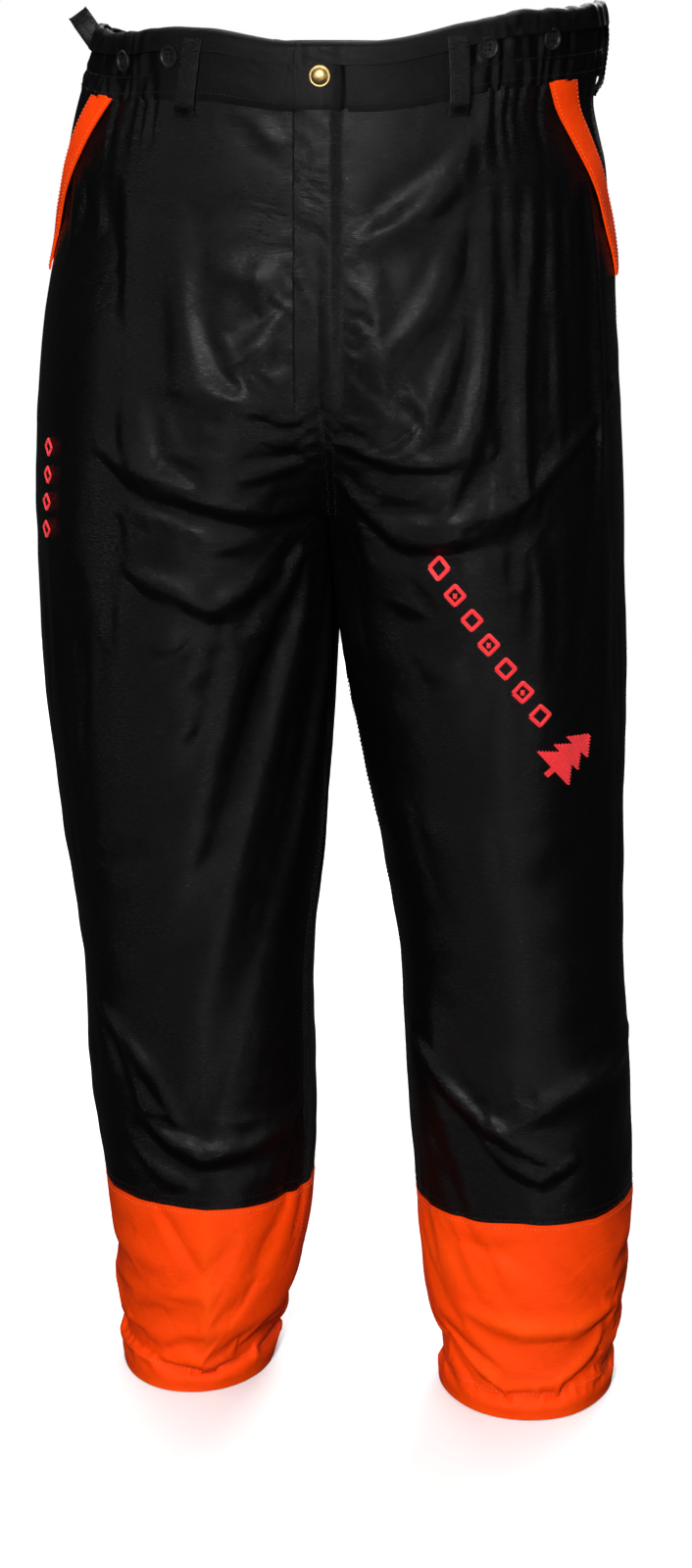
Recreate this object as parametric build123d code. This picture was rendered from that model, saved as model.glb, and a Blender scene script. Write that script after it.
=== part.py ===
from build123d import *
from math import cos, hypot, pi, radians, sin, sqrt, tan
import os

os.makedirs("parts", exist_ok=True)

# Chainsaw protective trousers, held open as they are worn.
# Millimetres. The origin is the middle of the waist opening, +Z is up, the front faces -Y and
# the wearer's left is +X. A "drop" is a distance straight down from the waist edge.

# ---------------------------------------------------------------- driving dimensions
OUTSEAM = 1040.0            # waist edge to hem
BAND_HEIGHT = 43.0          # waistband
CROTCH_DROP = 335.0         # waist edge to the fork
CUFF_DROP = 872.0           # waist edge to the seam of the coloured cuffs
PAD_TOP_DROP = 300.0        # top of the cut-protection pad
PAD_BOTTOM_DROP = 985.0
LINING_BOTTOM_DROP = 1020.0

FACE_CLOTH = 2.0            # face fabric with its seam allowances
LAYER_GAP = 0.3             # air between two layers of cloth
PAD_THICKNESS = 5.6         # stack of cut-protection fabric
LINING_CLOTH = 1.0
MIDDLE_GAP = 0.5            # each leg's inner side stands this far from the middle plane

HIP_DROP = 400.0            # bend line of a leg below the fork
KNEE_DROP = 690.0
HINGE_HALF_GAP = 3.0
HIP_FORWARD = 60.0          # degrees a leg swings forward
HIP_BACKWARD = 15.0
KNEE_BACKWARD = 80.0
SEAT_FRONT_RISE = 8.0       # slope of the seat's lower edge, in front of the bend line
THIGH_BACK_RISE = 30.0      # slope of the thigh's lower edge, behind the knee
FOLD_MARGIN = 2.0           # spare angle in each fold

FLY_HALF_WIDTH = 16.0
FLY_BOTTOM_DROP = 245.0
FLY_CORNER = 26.0           # curve of the stitched lower corner
FLY_TOP_Y = -131.2
FLY_TILT = 1.8              # degrees the fly leans out towards its foot
FLY_GAP = 0.3
FLY_CLOTH = 1.6
CUT_AHEAD = 20.0            # how far the cut for the fly reaches ahead of its face
CUT_BEHIND = 60.0

BUTTON_DIAMETER = 15.0
LOOP_WIDTH = 15.0
LOOP_CLEARANCE = 6.0        # room for a belt behind each loop
TRIM_WIDTH = 22.0
REACH = 400.0               # size of the blocks that cut the garment into panels

# Each row is one level of one side of the garment: its drop, how far its outer and its inner
# edge are from the middle plane, and how far its front and its back are from the plane of the
# side seams. An inner edge below zero runs past the middle plane and is cut there. The legs
# differ because one foot stands a little in front of the other.
LEVELS = {
    "right": (
        (0, 185, -185, 131, 131),
        (120, 204, -180, 137, 143),
        (230, 221, -118, 140, 150),
        (335, 227, -28, 128, 136),
        (450, 222, -8, 114, 118),
        (585, 208, 7, 100, 98),
        (690, 196, 22, 90, 86),
        (780, 193, 20, 88, 84),
        (880, 182, 20, 82, 80),
        (1040, 170, 53, 66, 86),
    ),
    "left": (
        (0, 185, -185, 131, 131),
        (120, 200, -180, 137, 143),
        (230, 209, -118, 140, 150),
        (335, 216, -28, 128, 136),
        (450, 218, 6, 114, 116),
        (585, 217, 37, 104, 94),
        (690, 219, 54, 96, 80),
        (780, 229, 59, 98, 74),
        (880, 231, 68, 96, 66),
        (1040, 216, 83, 92, 62),
    ),
}
SIGN = {"right": -1, "left": 1}
SECTION_POINTS = 16
OVERRUN = 12.0              # the lofts run past the waist and the hem and are then cut level


# ---------------------------------------------------------------- helpers
def save(name, shape):
    export_step(shape, "parts/" + name + ".step")


def slab(x0, x1, y0, y1, z0, z1):
    middle = Pos((x0 + x1) / 2, (y0 + y1) / 2, (z0 + z1) / 2)
    return middle * Box(abs(x1 - x0), abs(y1 - y0), abs(z1 - z0))


def between_drops(top, bottom):
    return slab(-REACH, REACH, -REACH, REACH, -bottom, -top)


def prism_along_x(outline, x0, x1):
    """A prism along X from an outline of (y, z) points."""
    face = Plane.YZ * make_face(Polyline(*outline, close=True))
    return Pos(x0, 0, 0) * extrude(face, amount=x1 - x0)


def prism_along_z(outline, top=REACH, bottom=-OUTSEAM - REACH):
    """A prism along Z from an outline of (x, y) points."""
    face = make_face(Polyline(*outline, close=True))
    return Pos(0, 0, bottom) * extrude(face, amount=top - bottom)


def section(side, drop, outer, inner, front, back):
    """The closed outline of one side at one level."""
    centre_x = (outer + inner) / 2
    centre_y = (back - front) / 2
    half_width = (outer - inner) / 2
    half_depth = (front + back) / 2
    points = []
    for step in range(SECTION_POINTS):
        angle = 2 * pi * step / SECTION_POINTS
        x = SIGN[side] * (centre_x + half_width * cos(angle))
        points.append((x, centre_y + half_depth * sin(angle), -drop))
    return Wire([Edge.make_spline(points, periodic=True)])


def envelope(side, inset):
    """One side of the garment as a solid body, its surface inset from the face of the cloth."""
    rows = [(-OVERRUN,) + LEVELS[side][0][1:]]
    rows.extend(LEVELS[side])
    rows.append((OUTSEAM + OVERRUN,) + LEVELS[side][-1][1:])
    outlines = []
    for drop, outer, inner, front, back in rows:
        row = (drop, outer - inset, inner + inset, front - inset, back - inset)
        outlines.append(section(side, *row))
    return Solid.make_loft(outlines)


def side_block(side, near_x, top, bottom):
    far_x = SIGN[side] * REACH
    return slab(SIGN[side] * near_x, far_x, -REACH, REACH, -bottom, -top)


def layer(side, outside, inside):
    """A layer of cloth on one side: a tube below the fork, half of a tube above it."""
    skin_block = side_block(side, 0, 0, CROTCH_DROP)
    skin_block += side_block(side, MIDDLE_GAP + max(outside, 0), CROTCH_DROP, OUTSEAM)
    hollow_block = side_block(side, -50, -OVERRUN, CROTCH_DROP)
    hollow_block += side_block(side, MIDDLE_GAP + inside, CROTCH_DROP, OUTSEAM + OVERRUN)
    skin = envelope(side, outside) & skin_block
    hollow = envelope(side, inside) & hollow_block
    return skin - hollow


def level_at(side, drop):
    """The garment's level at a drop, between the two rows around it."""
    rows = LEVELS[side]
    for above, below in zip(rows, rows[1:]):
        if above[0] <= drop <= below[0]:
            share = (drop - above[0]) / (below[0] - above[0])
            return tuple(a + (b - a) * share for a, b in zip(above, below))
    return rows[0]


def surface_point(side, x, drop, facing):
    """The point of the outer face at x, on the front (facing -1) or the back (+1)."""
    _, outer, inner, front, back = level_at(side, drop)
    across = (abs(x) - (outer + inner) / 2) / ((outer - inner) / 2)
    half_depth = (front + back) / 2
    y = (back - front) / 2 + facing * half_depth * sqrt(max(0, 1 - across * across))
    return Vector(x, y, -drop)


def surface_plane(side, x, drop, facing):
    """A plane on the outer face: its z points out of the cloth and its y points up."""
    point = surface_point(side, x, drop, facing)
    beside = surface_point(side, x + 0.5, drop, facing)
    below = surface_point(side, x, drop + 5, facing)
    across = (beside - point).normalized()
    down = (below - point).normalized()
    normal = across.cross(down)
    if normal.Y * facing < 0:
        normal = normal * -1
    return Plane(origin=point, x_dir=down.cross(normal), z_dir=normal)


# ---------------------------------------------------------------- regions of the garment
def front_block(side):
    """In front of the side seam and of the inside leg seam, which sits further forward."""
    sign = SIGN[side]
    outer_y = 15.0
    inner_y = -47.0
    slope = (outer_y - inner_y) / 220.0
    far_y = inner_y + slope * REACH
    corner_a = (-sign * 60, -REACH)
    corner_b = (sign * REACH, -REACH)
    corner_c = (sign * REACH, far_y)
    corner_d = (-sign * 60, inner_y - slope * 60)
    return prism_along_z([corner_a, corner_b, corner_c, corner_d])


def below_line(drop, front_angle, back_angle, lift):
    """Everything below a bent line through a bend point: its angles rise away from the point."""
    apex = (0, -drop + lift)
    front = (-REACH, apex[1] + REACH * tan(radians(front_angle)))
    back = (REACH, apex[1] + REACH * tan(radians(back_angle)))
    foot = -OUTSEAM - REACH
    return prism_along_x([front, apex, back, (REACH, foot), (-REACH, foot)], -REACH, REACH)


THIGH_FRONT_FALL = HIP_FORWARD + FOLD_MARGIN - SEAT_FRONT_RISE
SHIN_BACK_FALL = KNEE_BACKWARD + FOLD_MARGIN - THIGH_BACK_RISE
under_seat = below_line(HIP_DROP, SEAT_FRONT_RISE, 0, HINGE_HALF_GAP)
under_hip_fold = below_line(HIP_DROP, -THIGH_FRONT_FALL, -HIP_BACKWARD - FOLD_MARGIN, -HINGE_HALF_GAP)
under_thigh = below_line(KNEE_DROP, 0, THIGH_BACK_RISE, HINGE_HALF_GAP)
under_knee_fold = below_line(KNEE_DROP, 0, -SHIN_BACK_FALL, -HINGE_HALF_GAP)


# ---------------------------------------------------------------- the fly, in its own frame
# x across, y into the body from the outer face of the flap, z up from the waist edge.
fly_place = Location((0, FLY_TOP_Y, 0), (-FLY_TILT, 0, 0))


def fly_outline(grow):
    """The flap's outline, square at the free edge and curved at the stitched lower corner."""
    edge = FLY_HALF_WIDTH + grow
    foot = -FLY_BOTTOM_DROP - grow
    corner = FLY_CORNER
    free_side = Line((-edge, OVERRUN), (-edge, foot))
    base = Line((-edge, foot), (edge - corner, foot))
    curve = CenterArc((edge - corner, foot + corner), corner, -90, 90)
    stitched_side = Line((edge, foot + corner), (edge, OVERRUN))
    top = Line((edge, OVERRUN), (-edge, OVERRUN))
    return make_face([free_side, base, curve, stitched_side, top])


def fly_slab(grow, y0, y1):
    face = Plane.XZ * fly_outline(grow)
    return Pos(0, y1, 0) * extrude(face, amount=y1 - y0)


fly_window = fly_place * fly_slab(FLY_GAP, -CUT_AHEAD, CUT_BEHIND)

flap_block = fly_slab(0, 0, FLY_CLOTH)
flap = flap_block & slab(-REACH, REACH, -REACH, REACH, -REACH, -BAND_HEIGHT - 0.2)
save("fly_flap", fly_place * flap)
overlap = slab(-FLY_HALF_WIDTH, FLY_HALF_WIDTH, 0, FLY_CLOTH, -BAND_HEIGHT, -0.4)
save("waistband_overlap", fly_place * overlap)

# press stud: cap and socket on the overlap, post and back plate on the underlap
STUD_DROP = 21.5
UNDERLAP_Y = 4.6
UNDERLAP_CLOTH = 1.4


def fly_disc(radius, y0, y1):
    """A disc facing forward, on the stud's centre line."""
    return Pos(0, (y0 + y1) / 2, -STUD_DROP) * Rot(90, 0, 0) * Cylinder(radius, y1 - y0)


cap = fly_disc(7.5, -2.0, 0)
cap = fillet(cap.edges().filter_by(GeomType.CIRCLE).sort_by(Axis.Y)[0], 1.2)
save("stud_cap", fly_place * cap)
socket = fly_disc(5.5, FLY_CLOTH, 3.6) - fly_disc(3.1, FLY_CLOTH - 1, 5)
save("stud_socket", fly_place * socket)
post = fly_disc(5.0, 3.9, UNDERLAP_Y) + fly_disc(2.4, 2.0, 4.0)
save("stud_post", fly_place * post)
back_y = UNDERLAP_Y + UNDERLAP_CLOTH
save("stud_back_plate", fly_place * fly_disc(5.0, back_y, back_y + 0.8))

band_underlap = slab(-FLY_HALF_WIDTH - FLY_GAP, 14, UNDERLAP_Y, back_y, -BAND_HEIGHT + 0.4, -0.6)
save("waistband_underlap", fly_place * band_underlap)

# zip: two tapes with a row of teeth each, stops, a slider and its pull
ZIP_TOP = -47.0
ZIP_BOTTOM = -237.0
TAPE_Y = 9.0
TAPE_HALF = 0.3
TAPE_OUTER_X = 16.4
TOOTH_INNER_X = 0.8
TOOTH_OUTER_X = 3.2
TOOTH_HALF_DEPTH = 1.1
TOOTH_HEIGHT = 2.2
TOOTH_PITCH = 4.0
SLIDER_TOP = -51.0
SLIDER_LENGTH = 9.0
PLATE_HALF_WIDTH = 4.4
PLATE_THICKNESS = 1.2
PLATE_Y = TAPE_Y - TOOTH_HALF_DEPTH - 0.3
BACK_PLATE_Y = TAPE_Y + TOOTH_HALF_DEPTH + 0.3

tapes = []
teeth = []
for side, sign in SIGN.items():
    tape_y = (TAPE_Y - TAPE_HALF, TAPE_Y + TAPE_HALF)
    tapes.append(slab(sign * TOOTH_OUTER_X, sign * TAPE_OUTER_X, *tape_y, ZIP_BOTTOM, ZIP_TOP))
    tooth_x = (sign * TOOTH_INNER_X, sign * TOOTH_OUTER_X)
    tooth_y = (TAPE_Y - TOOTH_HALF_DEPTH, TAPE_Y + TOOTH_HALF_DEPTH)
    tooth_top = ZIP_TOP - 3 - (TOOTH_PITCH / 2 if side == "left" else 0)
    while tooth_top - TOOTH_HEIGHT > ZIP_BOTTOM + 3:
        teeth.append(slab(*tooth_x, *tooth_y, tooth_top - TOOTH_HEIGHT, tooth_top))
        tooth_top -= TOOTH_PITCH
save("zip_tapes", fly_place * Compound(children=tapes))
save("zip_teeth", fly_place * Compound(children=teeth))

top_stops = []
for sign in SIGN.values():
    stop_x = (sign * TOOTH_INNER_X, sign * TOOTH_OUTER_X)
    top_stops.append(slab(*stop_x, TAPE_Y - 1.4, TAPE_Y + 1.4, ZIP_TOP - 2.0, ZIP_TOP))
bottom_stop = slab(-3.1, 3.1, TAPE_Y - 1.4, TAPE_Y + 1.4, ZIP_BOTTOM, ZIP_BOTTOM + 2.4)
save("zip_stops", fly_place * Compound(children=top_stops + [bottom_stop]))

slider_z = (SLIDER_TOP - SLIDER_LENGTH, SLIDER_TOP)
slider = slab(-PLATE_HALF_WIDTH, PLATE_HALF_WIDTH, PLATE_Y - PLATE_THICKNESS, PLATE_Y, *slider_z)
slider += slab(
    -PLATE_HALF_WIDTH, PLATE_HALF_WIDTH, BACK_PLATE_Y, BACK_PLATE_Y + PLATE_THICKNESS, *slider_z
)
for sign in SIGN.values():
    flange_x = (sign * (TOOTH_OUTER_X + 0.4), sign * PLATE_HALF_WIDTH)
    slider += slab(*flange_x, PLATE_Y, TAPE_Y - 0.6, *slider_z)
    slider += slab(*flange_x, TAPE_Y + 0.6, BACK_PLATE_Y, *slider_z)
slider += slab(-0.45, 0.45, PLATE_Y, BACK_PLATE_Y, SLIDER_TOP - 2.6, SLIDER_TOP)
PULL_PIN_Z = SLIDER_TOP - 3.5
PULL_PIN_Y = PLATE_Y - PLATE_THICKNESS - 1.3
for sign in SIGN.values():
    lug_x = (sign * 1.6, sign * 2.6)
    lug_y = (PULL_PIN_Y - 0.9, PLATE_Y - PLATE_THICKNESS)
    slider += slab(*lug_x, *lug_y, PULL_PIN_Z - 1.4, PULL_PIN_Z + 1.4)
pull_pin = Pos(0, PULL_PIN_Y, PULL_PIN_Z) * Rot(0, 90, 0) * Cylinder(0.5, 4.0)
save("zip_slider", fly_place * (slider + pull_pin))

eye = Pos(0, PULL_PIN_Y, PULL_PIN_Z) * Rot(0, 90, 0) * Cylinder(1.1, 2.8)
stem = slab(-1.2, 1.2, PULL_PIN_Y - 0.6, PULL_PIN_Y + 0.6, PULL_PIN_Z - 5, PULL_PIN_Z - 0.5)
grip = slab(-3.0, 3.0, PULL_PIN_Y - 0.6, PULL_PIN_Y + 0.6, PULL_PIN_Z - 22, PULL_PIN_Z - 4.5)
grip_hole = Pos(0, PULL_PIN_Y, PULL_PIN_Z - 17.5) * Rot(90, 0, 0) * Cylinder(1.6, 4)
eye_bore = Pos(0, PULL_PIN_Y, PULL_PIN_Z) * Rot(0, 90, 0) * Cylinder(0.62, 6)
save("zip_pull", fly_place * (eye + stem + grip - eye_bore - grip_hole))

# the underlap behind the zip and the folded facing on the other edge
shield = slab(-16.4, 14, 12.4, 13.8, ZIP_BOTTOM - 3, -BAND_HEIGHT - 1)
shield += slab(-19, -16.4, 5.6, 13.8, ZIP_BOTTOM - 3, -BAND_HEIGHT - 1)
save("fly_underlap", fly_place * shield)
facing = slab(16.4, 19, 5.6, 10, ZIP_BOTTOM - 3, -BAND_HEIGHT - 1)
save("fly_facing", fly_place * facing)


# ---------------------------------------------------------------- face cloth, side by side
waist_block = between_drops(0, BAND_HEIGHT)
body_block = between_drops(BAND_HEIGHT, CUFF_DROP)
cuff_block = between_drops(CUFF_DROP, OUTSEAM)
band_backs = []
lining_parts = []

for side, sign in SIGN.items():
    front = front_block(side)
    cloth = layer(side, 0, FACE_CLOTH) - fly_window
    panels = cloth & body_block

    seat = panels - under_seat
    save("seat_front_" + side, seat & front)
    save("seat_back_" + side, seat - front)
    save("hip_fold_" + side, (panels & under_seat) - under_hip_fold)
    thigh = (panels & under_hip_fold) - under_thigh
    save("thigh_front_" + side, thigh & front)
    save("thigh_back_" + side, thigh - front)
    save("knee_fold_" + side, (panels & under_thigh) - under_knee_fold)
    shin = panels & under_knee_fold
    save("shin_front_" + side, shin & front)
    save("shin_back_" + side, shin - front)
    cuff = cloth & cuff_block
    save("cuff_front_" + side, cuff & front)
    save("cuff_back_" + side, cuff - front)

    # cut protection over the front of the leg, and a lining all the way round inside it
    pad_outside = FACE_CLOTH + LAYER_GAP
    pad_inside = pad_outside + PAD_THICKNESS
    pad = layer(side, pad_outside, pad_inside) & front
    save("protective_pad_" + side, pad & between_drops(PAD_TOP_DROP, PAD_BOTTOM_DROP))
    lining_outside = pad_inside + LAYER_GAP
    lining = layer(side, lining_outside, lining_outside + LINING_CLOTH)
    save("leg_lining_" + side, lining & between_drops(PAD_TOP_DROP, LINING_BOTTOM_DROP))

    # waistband: face, gathered elastic inside it over the hip, and its lining
    band = cloth & waist_block
    save("waistband_" + side, band & front)
    band_backs.append(band - front)
    elastic = layer(side, FACE_CLOTH + 0.4, FACE_CLOTH + 2.0)
    elastic_block = slab(sign * 100, sign * REACH, -REACH, REACH, -BAND_HEIGHT + 5, -5)
    save("waist_elastic_" + side, elastic & elastic_block)
    band_lining = layer(side, FACE_CLOTH + 2.4, FACE_CLOTH + 3.4) - fly_window
    lining_parts.append(band_lining & between_drops(1, BAND_HEIGHT - 1))

    # slanted front pocket: coloured edge outside, flat bag inside
    mouth_top = (-76, -BAND_HEIGHT)
    mouth_foot = (-8, -172)
    run_y = mouth_foot[0] - mouth_top[0]
    run_z = mouth_foot[1] - mouth_top[1]
    across_y = TRIM_WIDTH * -run_z / hypot(run_y, run_z)
    across_z = TRIM_WIDTH * run_y / hypot(run_y, run_z)
    trim_outline = [
        mouth_top,
        mouth_foot,
        (mouth_foot[0] + across_y, mouth_foot[1] + across_z),
        (mouth_top[0] + across_y, mouth_top[1] + across_z),
    ]
    trim = layer(side, -1.2, -0.1) & prism_along_x(trim_outline, 0, sign * REACH)
    save("pocket_trim_" + side, trim & between_drops(BAND_HEIGHT, CUFF_DROP))
    bag = layer(side, FACE_CLOTH + 0.3, FACE_CLOTH + 1.9)
    bag_block = slab(sign * 105, sign * REACH, -REACH, 5, -285, -BAND_HEIGHT - 6)
    save("pocket_bag_" + side, bag & bag_block)

save("waistband_back", band_backs[0] + band_backs[1])
save("waistband_lining", lining_parts[0] + lining_parts[1])


# ---------------------------------------------------------------- fastenings on the waistband
def brace_button():
    button = Cylinder(BUTTON_DIAMETER / 2, 2.4)
    button -= Pos(0, 0, 1.0) * Cylinder(BUTTON_DIAMETER / 2 - 2, 1.2)
    for corner_x in (-1.5, 1.5):
        for corner_y in (-1.5, 1.5):
            button -= Pos(corner_x, corner_y, 0) * Cylinder(0.8, 6)
    return button


BUTTON_DROP = 18.0
BUTTON_PLACES = (
    ("right", -152, -1),
    ("right", -110, -1),
    ("left", 110, -1),
    ("left", 152, -1),
    ("right", -36, 1),
    ("left", 36, 1),
)
buttons = []
for side, x, facing in BUTTON_PLACES:
    seat_plane = surface_plane(side, x, BUTTON_DROP, facing)
    buttons.append(seat_plane * Pos(0, 0, 2.0) * brace_button())
save("brace_buttons", Compound(children=buttons))

LOOP_TOP = -3.0
LOOP_BOTTOM = -54.0
LOOP_CLOTH = 1.6
LOOP_TACK = 5.0             # height of each sewn-down end


def belt_loop():
    """A loop in the frame of its plane: y up, z out of the cloth, the origin at mid height."""
    half = (LOOP_TOP - LOOP_BOTTOM) / 2
    width = LOOP_WIDTH / 2
    strip_z = (LOOP_CLEARANCE + 0.6, LOOP_CLEARANCE + 0.6 + LOOP_CLOTH)
    loop = slab(-width, width, -half, half, *strip_z)
    loop += slab(-width, width, half - LOOP_TACK, half, 0.6, strip_z[1])
    loop += slab(-width, width, -half, -half + LOOP_TACK, 0.6, strip_z[1])
    return loop


LOOP_DROP = -(LOOP_TOP + LOOP_BOTTOM) / 2
LOOP_PLACES = (
    ("belt_loop_front_right", "right", -92, -1),
    ("belt_loop_front_left", "left", 92, -1),
    ("belt_loop_side_left", "left", 187, 1),
    ("belt_loop_back_right", "right", -100, 1),
    ("belt_loop_back_left", "left", 100, 1),
    ("belt_loop_back_middle", "left", 0.1, 1),
)
for name, side, x, facing in LOOP_PLACES:
    save(name, surface_plane(side, x, LOOP_DROP, facing) * belt_loop())

# the loop over the right hip has lost its shape and stands up above the waist edge
ear_line = [(6, -50), (11, -32), (16, -2), (18, 14), (16, 16), (4, -3), (2, -3)]
ear_hole = [(7, -42), (10, -30), (14.5, -2), (15.6, 9), (11, 3), (4.4, -8)]
ear_plane = Plane(origin=(-187, 6, 0), x_dir=(-1, 0, 0), z_dir=(0, 1, 0))


def ear_prism(line):
    return extrude(ear_plane * make_face(Polyline(*line, close=True)), LOOP_WIDTH / 2, both=True)


ear = ear_prism(ear_line) - ear_prism(ear_hole)
save("belt_loop_side_right", ear)


# ---------------------------------------------------------------- rear patch pocket, wearer's right
PATCH_INNER_X = 45.0
PATCH_OUTER_X = 150.0
PATCH_TOP_DROP = 128.0
PATCH_BOTTOM_DROP = 268.0
FLAP_TOP_DROP = 118.0
FLAP_BOTTOM_DROP = 172.0
patch_block = slab(-PATCH_OUTER_X, -PATCH_INNER_X, 0, REACH, -PATCH_BOTTOM_DROP, -PATCH_TOP_DROP)
save("rear_pocket", layer("right", -1.5, -0.1) & patch_block)
rear_flap_block = slab(
    -PATCH_OUTER_X - 2, -PATCH_INNER_X + 2, 0, REACH, -FLAP_BOTTOM_DROP, -FLAP_TOP_DROP
)
save("rear_pocket_flap", layer("right", -3.4, -2.0) & rear_flap_block)


# ---------------------------------------------------------------- stitched motifs on the thighs
def stitched(side, shapes):
    """Raised satin stitch: the shapes, given as (x, z) outlines, taken out of a thin layer."""
    thread = layer(side, -0.7, -0.1)
    solids = []
    for outline in shapes:
        face = Plane.XZ * make_face(Polyline(*outline, close=True))
        column = extrude(face, amount=REACH)
        solids.extend((thread & column).solids())
    return Compound(children=solids)


def lozenge(x, z, half_width, half_height):
    return [(x - half_width, z), (x, z + half_height), (x + half_width, z), (x, z - half_height)]


MOTIF_LOZENGES = 7
motif = []
for step in range(MOTIF_LOZENGES):
    share = step / (MOTIF_LOZENGES - 1)
    motif.append(lozenge(84 + 72 * share, -357 - 110 * share, 8, 8.5))
motif.append(lozenge(176, -501, 14, 16))
save("thigh_motif_left", stitched("left", motif))
marks = []
for step in range(4):
    marks.append(lozenge(-207 - 1.5 * step, -290 - 20 * step, 3, 6))
save("side_motif_right", stitched("right", marks))
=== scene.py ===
"""Chainsaw protective trousers: cloth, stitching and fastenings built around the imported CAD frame.

Lengths are in metres, in the CAD frame: the origin is the middle of the waist opening, +Z is up,
the front faces -Y and the wearer's left is +X. A "drop" is a distance down from the waist edge.
"""

import math

import bpy
import numpy as np
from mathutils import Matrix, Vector, noise


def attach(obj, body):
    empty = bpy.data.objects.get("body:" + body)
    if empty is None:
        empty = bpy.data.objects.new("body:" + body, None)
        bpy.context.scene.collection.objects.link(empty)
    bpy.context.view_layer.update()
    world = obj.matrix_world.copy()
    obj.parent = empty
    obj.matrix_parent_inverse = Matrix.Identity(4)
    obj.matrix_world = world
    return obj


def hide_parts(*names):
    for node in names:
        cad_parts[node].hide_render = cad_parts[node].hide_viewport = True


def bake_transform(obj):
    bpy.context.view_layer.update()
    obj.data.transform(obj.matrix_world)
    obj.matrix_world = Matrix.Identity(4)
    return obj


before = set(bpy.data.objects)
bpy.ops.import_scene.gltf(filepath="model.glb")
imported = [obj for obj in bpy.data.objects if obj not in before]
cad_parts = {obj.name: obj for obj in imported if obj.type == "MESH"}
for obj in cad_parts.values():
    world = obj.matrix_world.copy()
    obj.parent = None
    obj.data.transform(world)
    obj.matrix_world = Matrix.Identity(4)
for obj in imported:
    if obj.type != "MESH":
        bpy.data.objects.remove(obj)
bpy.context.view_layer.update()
MM = 0.001

# ------------------------------------------------------------------ driving dimensions
OUTSEAM = 1.040
BAND_DROP = 0.043
FLY_DROP = 0.245
FORK_DROP = 0.335
SPLIT_DROP = 0.572          # the rigid stretch of each thigh, where the upper and lower panels meet
CUFF_DROP = 0.872
FLY_HALF = 0.0162
LEG_CLEARANCE = 0.0006      # least distance of a leg's inner side from the middle plane
CLOTH = 0.0013              # thickness of the face cloth
SIGN = {"right": -1, "left": 1}

# One row per level of each side: drop, outer edge, inner edge, front and back, in millimetres
# from the middle plane and from the plane of the side seams.
LEVELS = {
    "right": (
        (0, 185, -185, 131, 131), (120, 204, -180, 137, 143), (230, 221, -118, 140, 150),
        (335, 227, -28, 128, 136), (450, 222, -8, 114, 118), (585, 208, 7, 100, 98),
        (690, 196, 22, 90, 86), (780, 193, 20, 88, 84), (880, 182, 20, 82, 80),
        (1040, 170, 53, 66, 86),
    ),
    "left": (
        (0, 185, -185, 131, 131), (120, 200, -180, 137, 143), (230, 209, -118, 140, 150),
        (335, 216, -28, 128, 136), (450, 218, 6, 114, 116), (585, 217, 37, 104, 94),
        (690, 219, 54, 96, 80), (780, 229, 59, 98, 74), (880, 231, 68, 96, 66),
        (1040, 216, 83, 92, 62),
    ),
}
FORK_ANGLE = math.radians(141.3)    # where each leg's inner side begins, from its outer side

# The slanted front pockets' coloured edges run along a line of (y, z).
MOUTH_TOP = (-0.076, -0.043)
MOUTH_FOOT = (-0.008, -0.172)
TRIM_WIDTH = 0.022


# The waist edge climbs to the left hip, climbs and falls again towards the right hip, and sags
# behind. All of it fades out down the seat.
LEFT_HIP_RISE = 0.018
RIGHT_FRONT_RISE, RIGHT_HIP_FALL = 0.007, 0.008
WAIST_SAG = 0.022
RISE_FADES_AT = 0.13
# How far the elastic draws each hip in at a drop, both in millimetres.
DRAWN_IN = {
    "right": ((0, 19), (21, 16), (45, 11), (67, 8), (90, 6.5), (127, 3.5), (164, 1.2), (200, 0)),
    "left": ((0, 1), (20, 1), (42, 6), (60, 11), (78, 9), (100, 5), (140, 0), (200, 0)),
}


# ------------------------------------------------------------------ the garment's surface
def smooth(t):
    """An even step from 0 at t = 0 to 1 at t = 1."""
    t = np.clip(t, 0, 1)
    return t * t * (3 - 2 * t)


def unit(vectors):
    return vectors / np.maximum(np.linalg.norm(vectors, axis=-1, keepdims=True), 1e-12)


def wrapped(angle):
    """Angles past half a turn, as the negative angles that they equal."""
    return np.where(angle > math.pi, angle - 2 * math.pi, angle)


def spline(x, knots, values):
    """A smooth curve through the values at the knots, with no overshoot at the ends."""
    slopes = np.gradient(values, knots)
    x = np.clip(x, knots[0], knots[-1])
    i = np.clip(np.searchsorted(knots, x, side="right") - 1, 0, len(knots) - 2)
    width = knots[i + 1] - knots[i]
    t = (x - knots[i]) / width
    a = (1 + 2 * t) * (1 - t) ** 2 * values[i] + t * t * (3 - 2 * t) * values[i + 1]
    return a + width * (t * (1 - t) ** 2 * slopes[i] - t * t * (1 - t) * slopes[i + 1])


def level(side, drop):
    """Centre x (towards that side), half width, centre y and half depth at each drop."""
    rows = np.array(LEVELS[side], float) * MM
    drop = np.asarray(drop, float)
    outer, inner, front, back = (spline(drop, rows[:, 0], rows[:, k]) for k in (1, 2, 3, 4))
    return (outer + inner) / 2, (outer - inner) / 2, (back - front) / 2, (front + back) / 2


def middle_angle(side, drop):
    """The angle, from the outer side, at which the side meets the middle plane."""
    centre, half, _, _ = level(side, np.minimum(drop, FORK_DROP))
    return np.minimum(np.arccos(np.clip(-centre / half, -1, 1)), FORK_ANGLE)


def waist_rise(side, x, y):
    """How far the waist edge stands above its middle front; x is measured towards the side."""
    if side == "left":
        front = LEFT_HIP_RISE * smooth((x - 0.03) / 0.11)
    else:
        front = RIGHT_FRONT_RISE * smooth((x - 0.02) / 0.06) - RIGHT_HIP_FALL * smooth((x - 0.10) / 0.07)
    back = smooth((y + 0.005) / 0.115)
    return front * (1 - back) - WAIST_SAG * back


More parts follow.
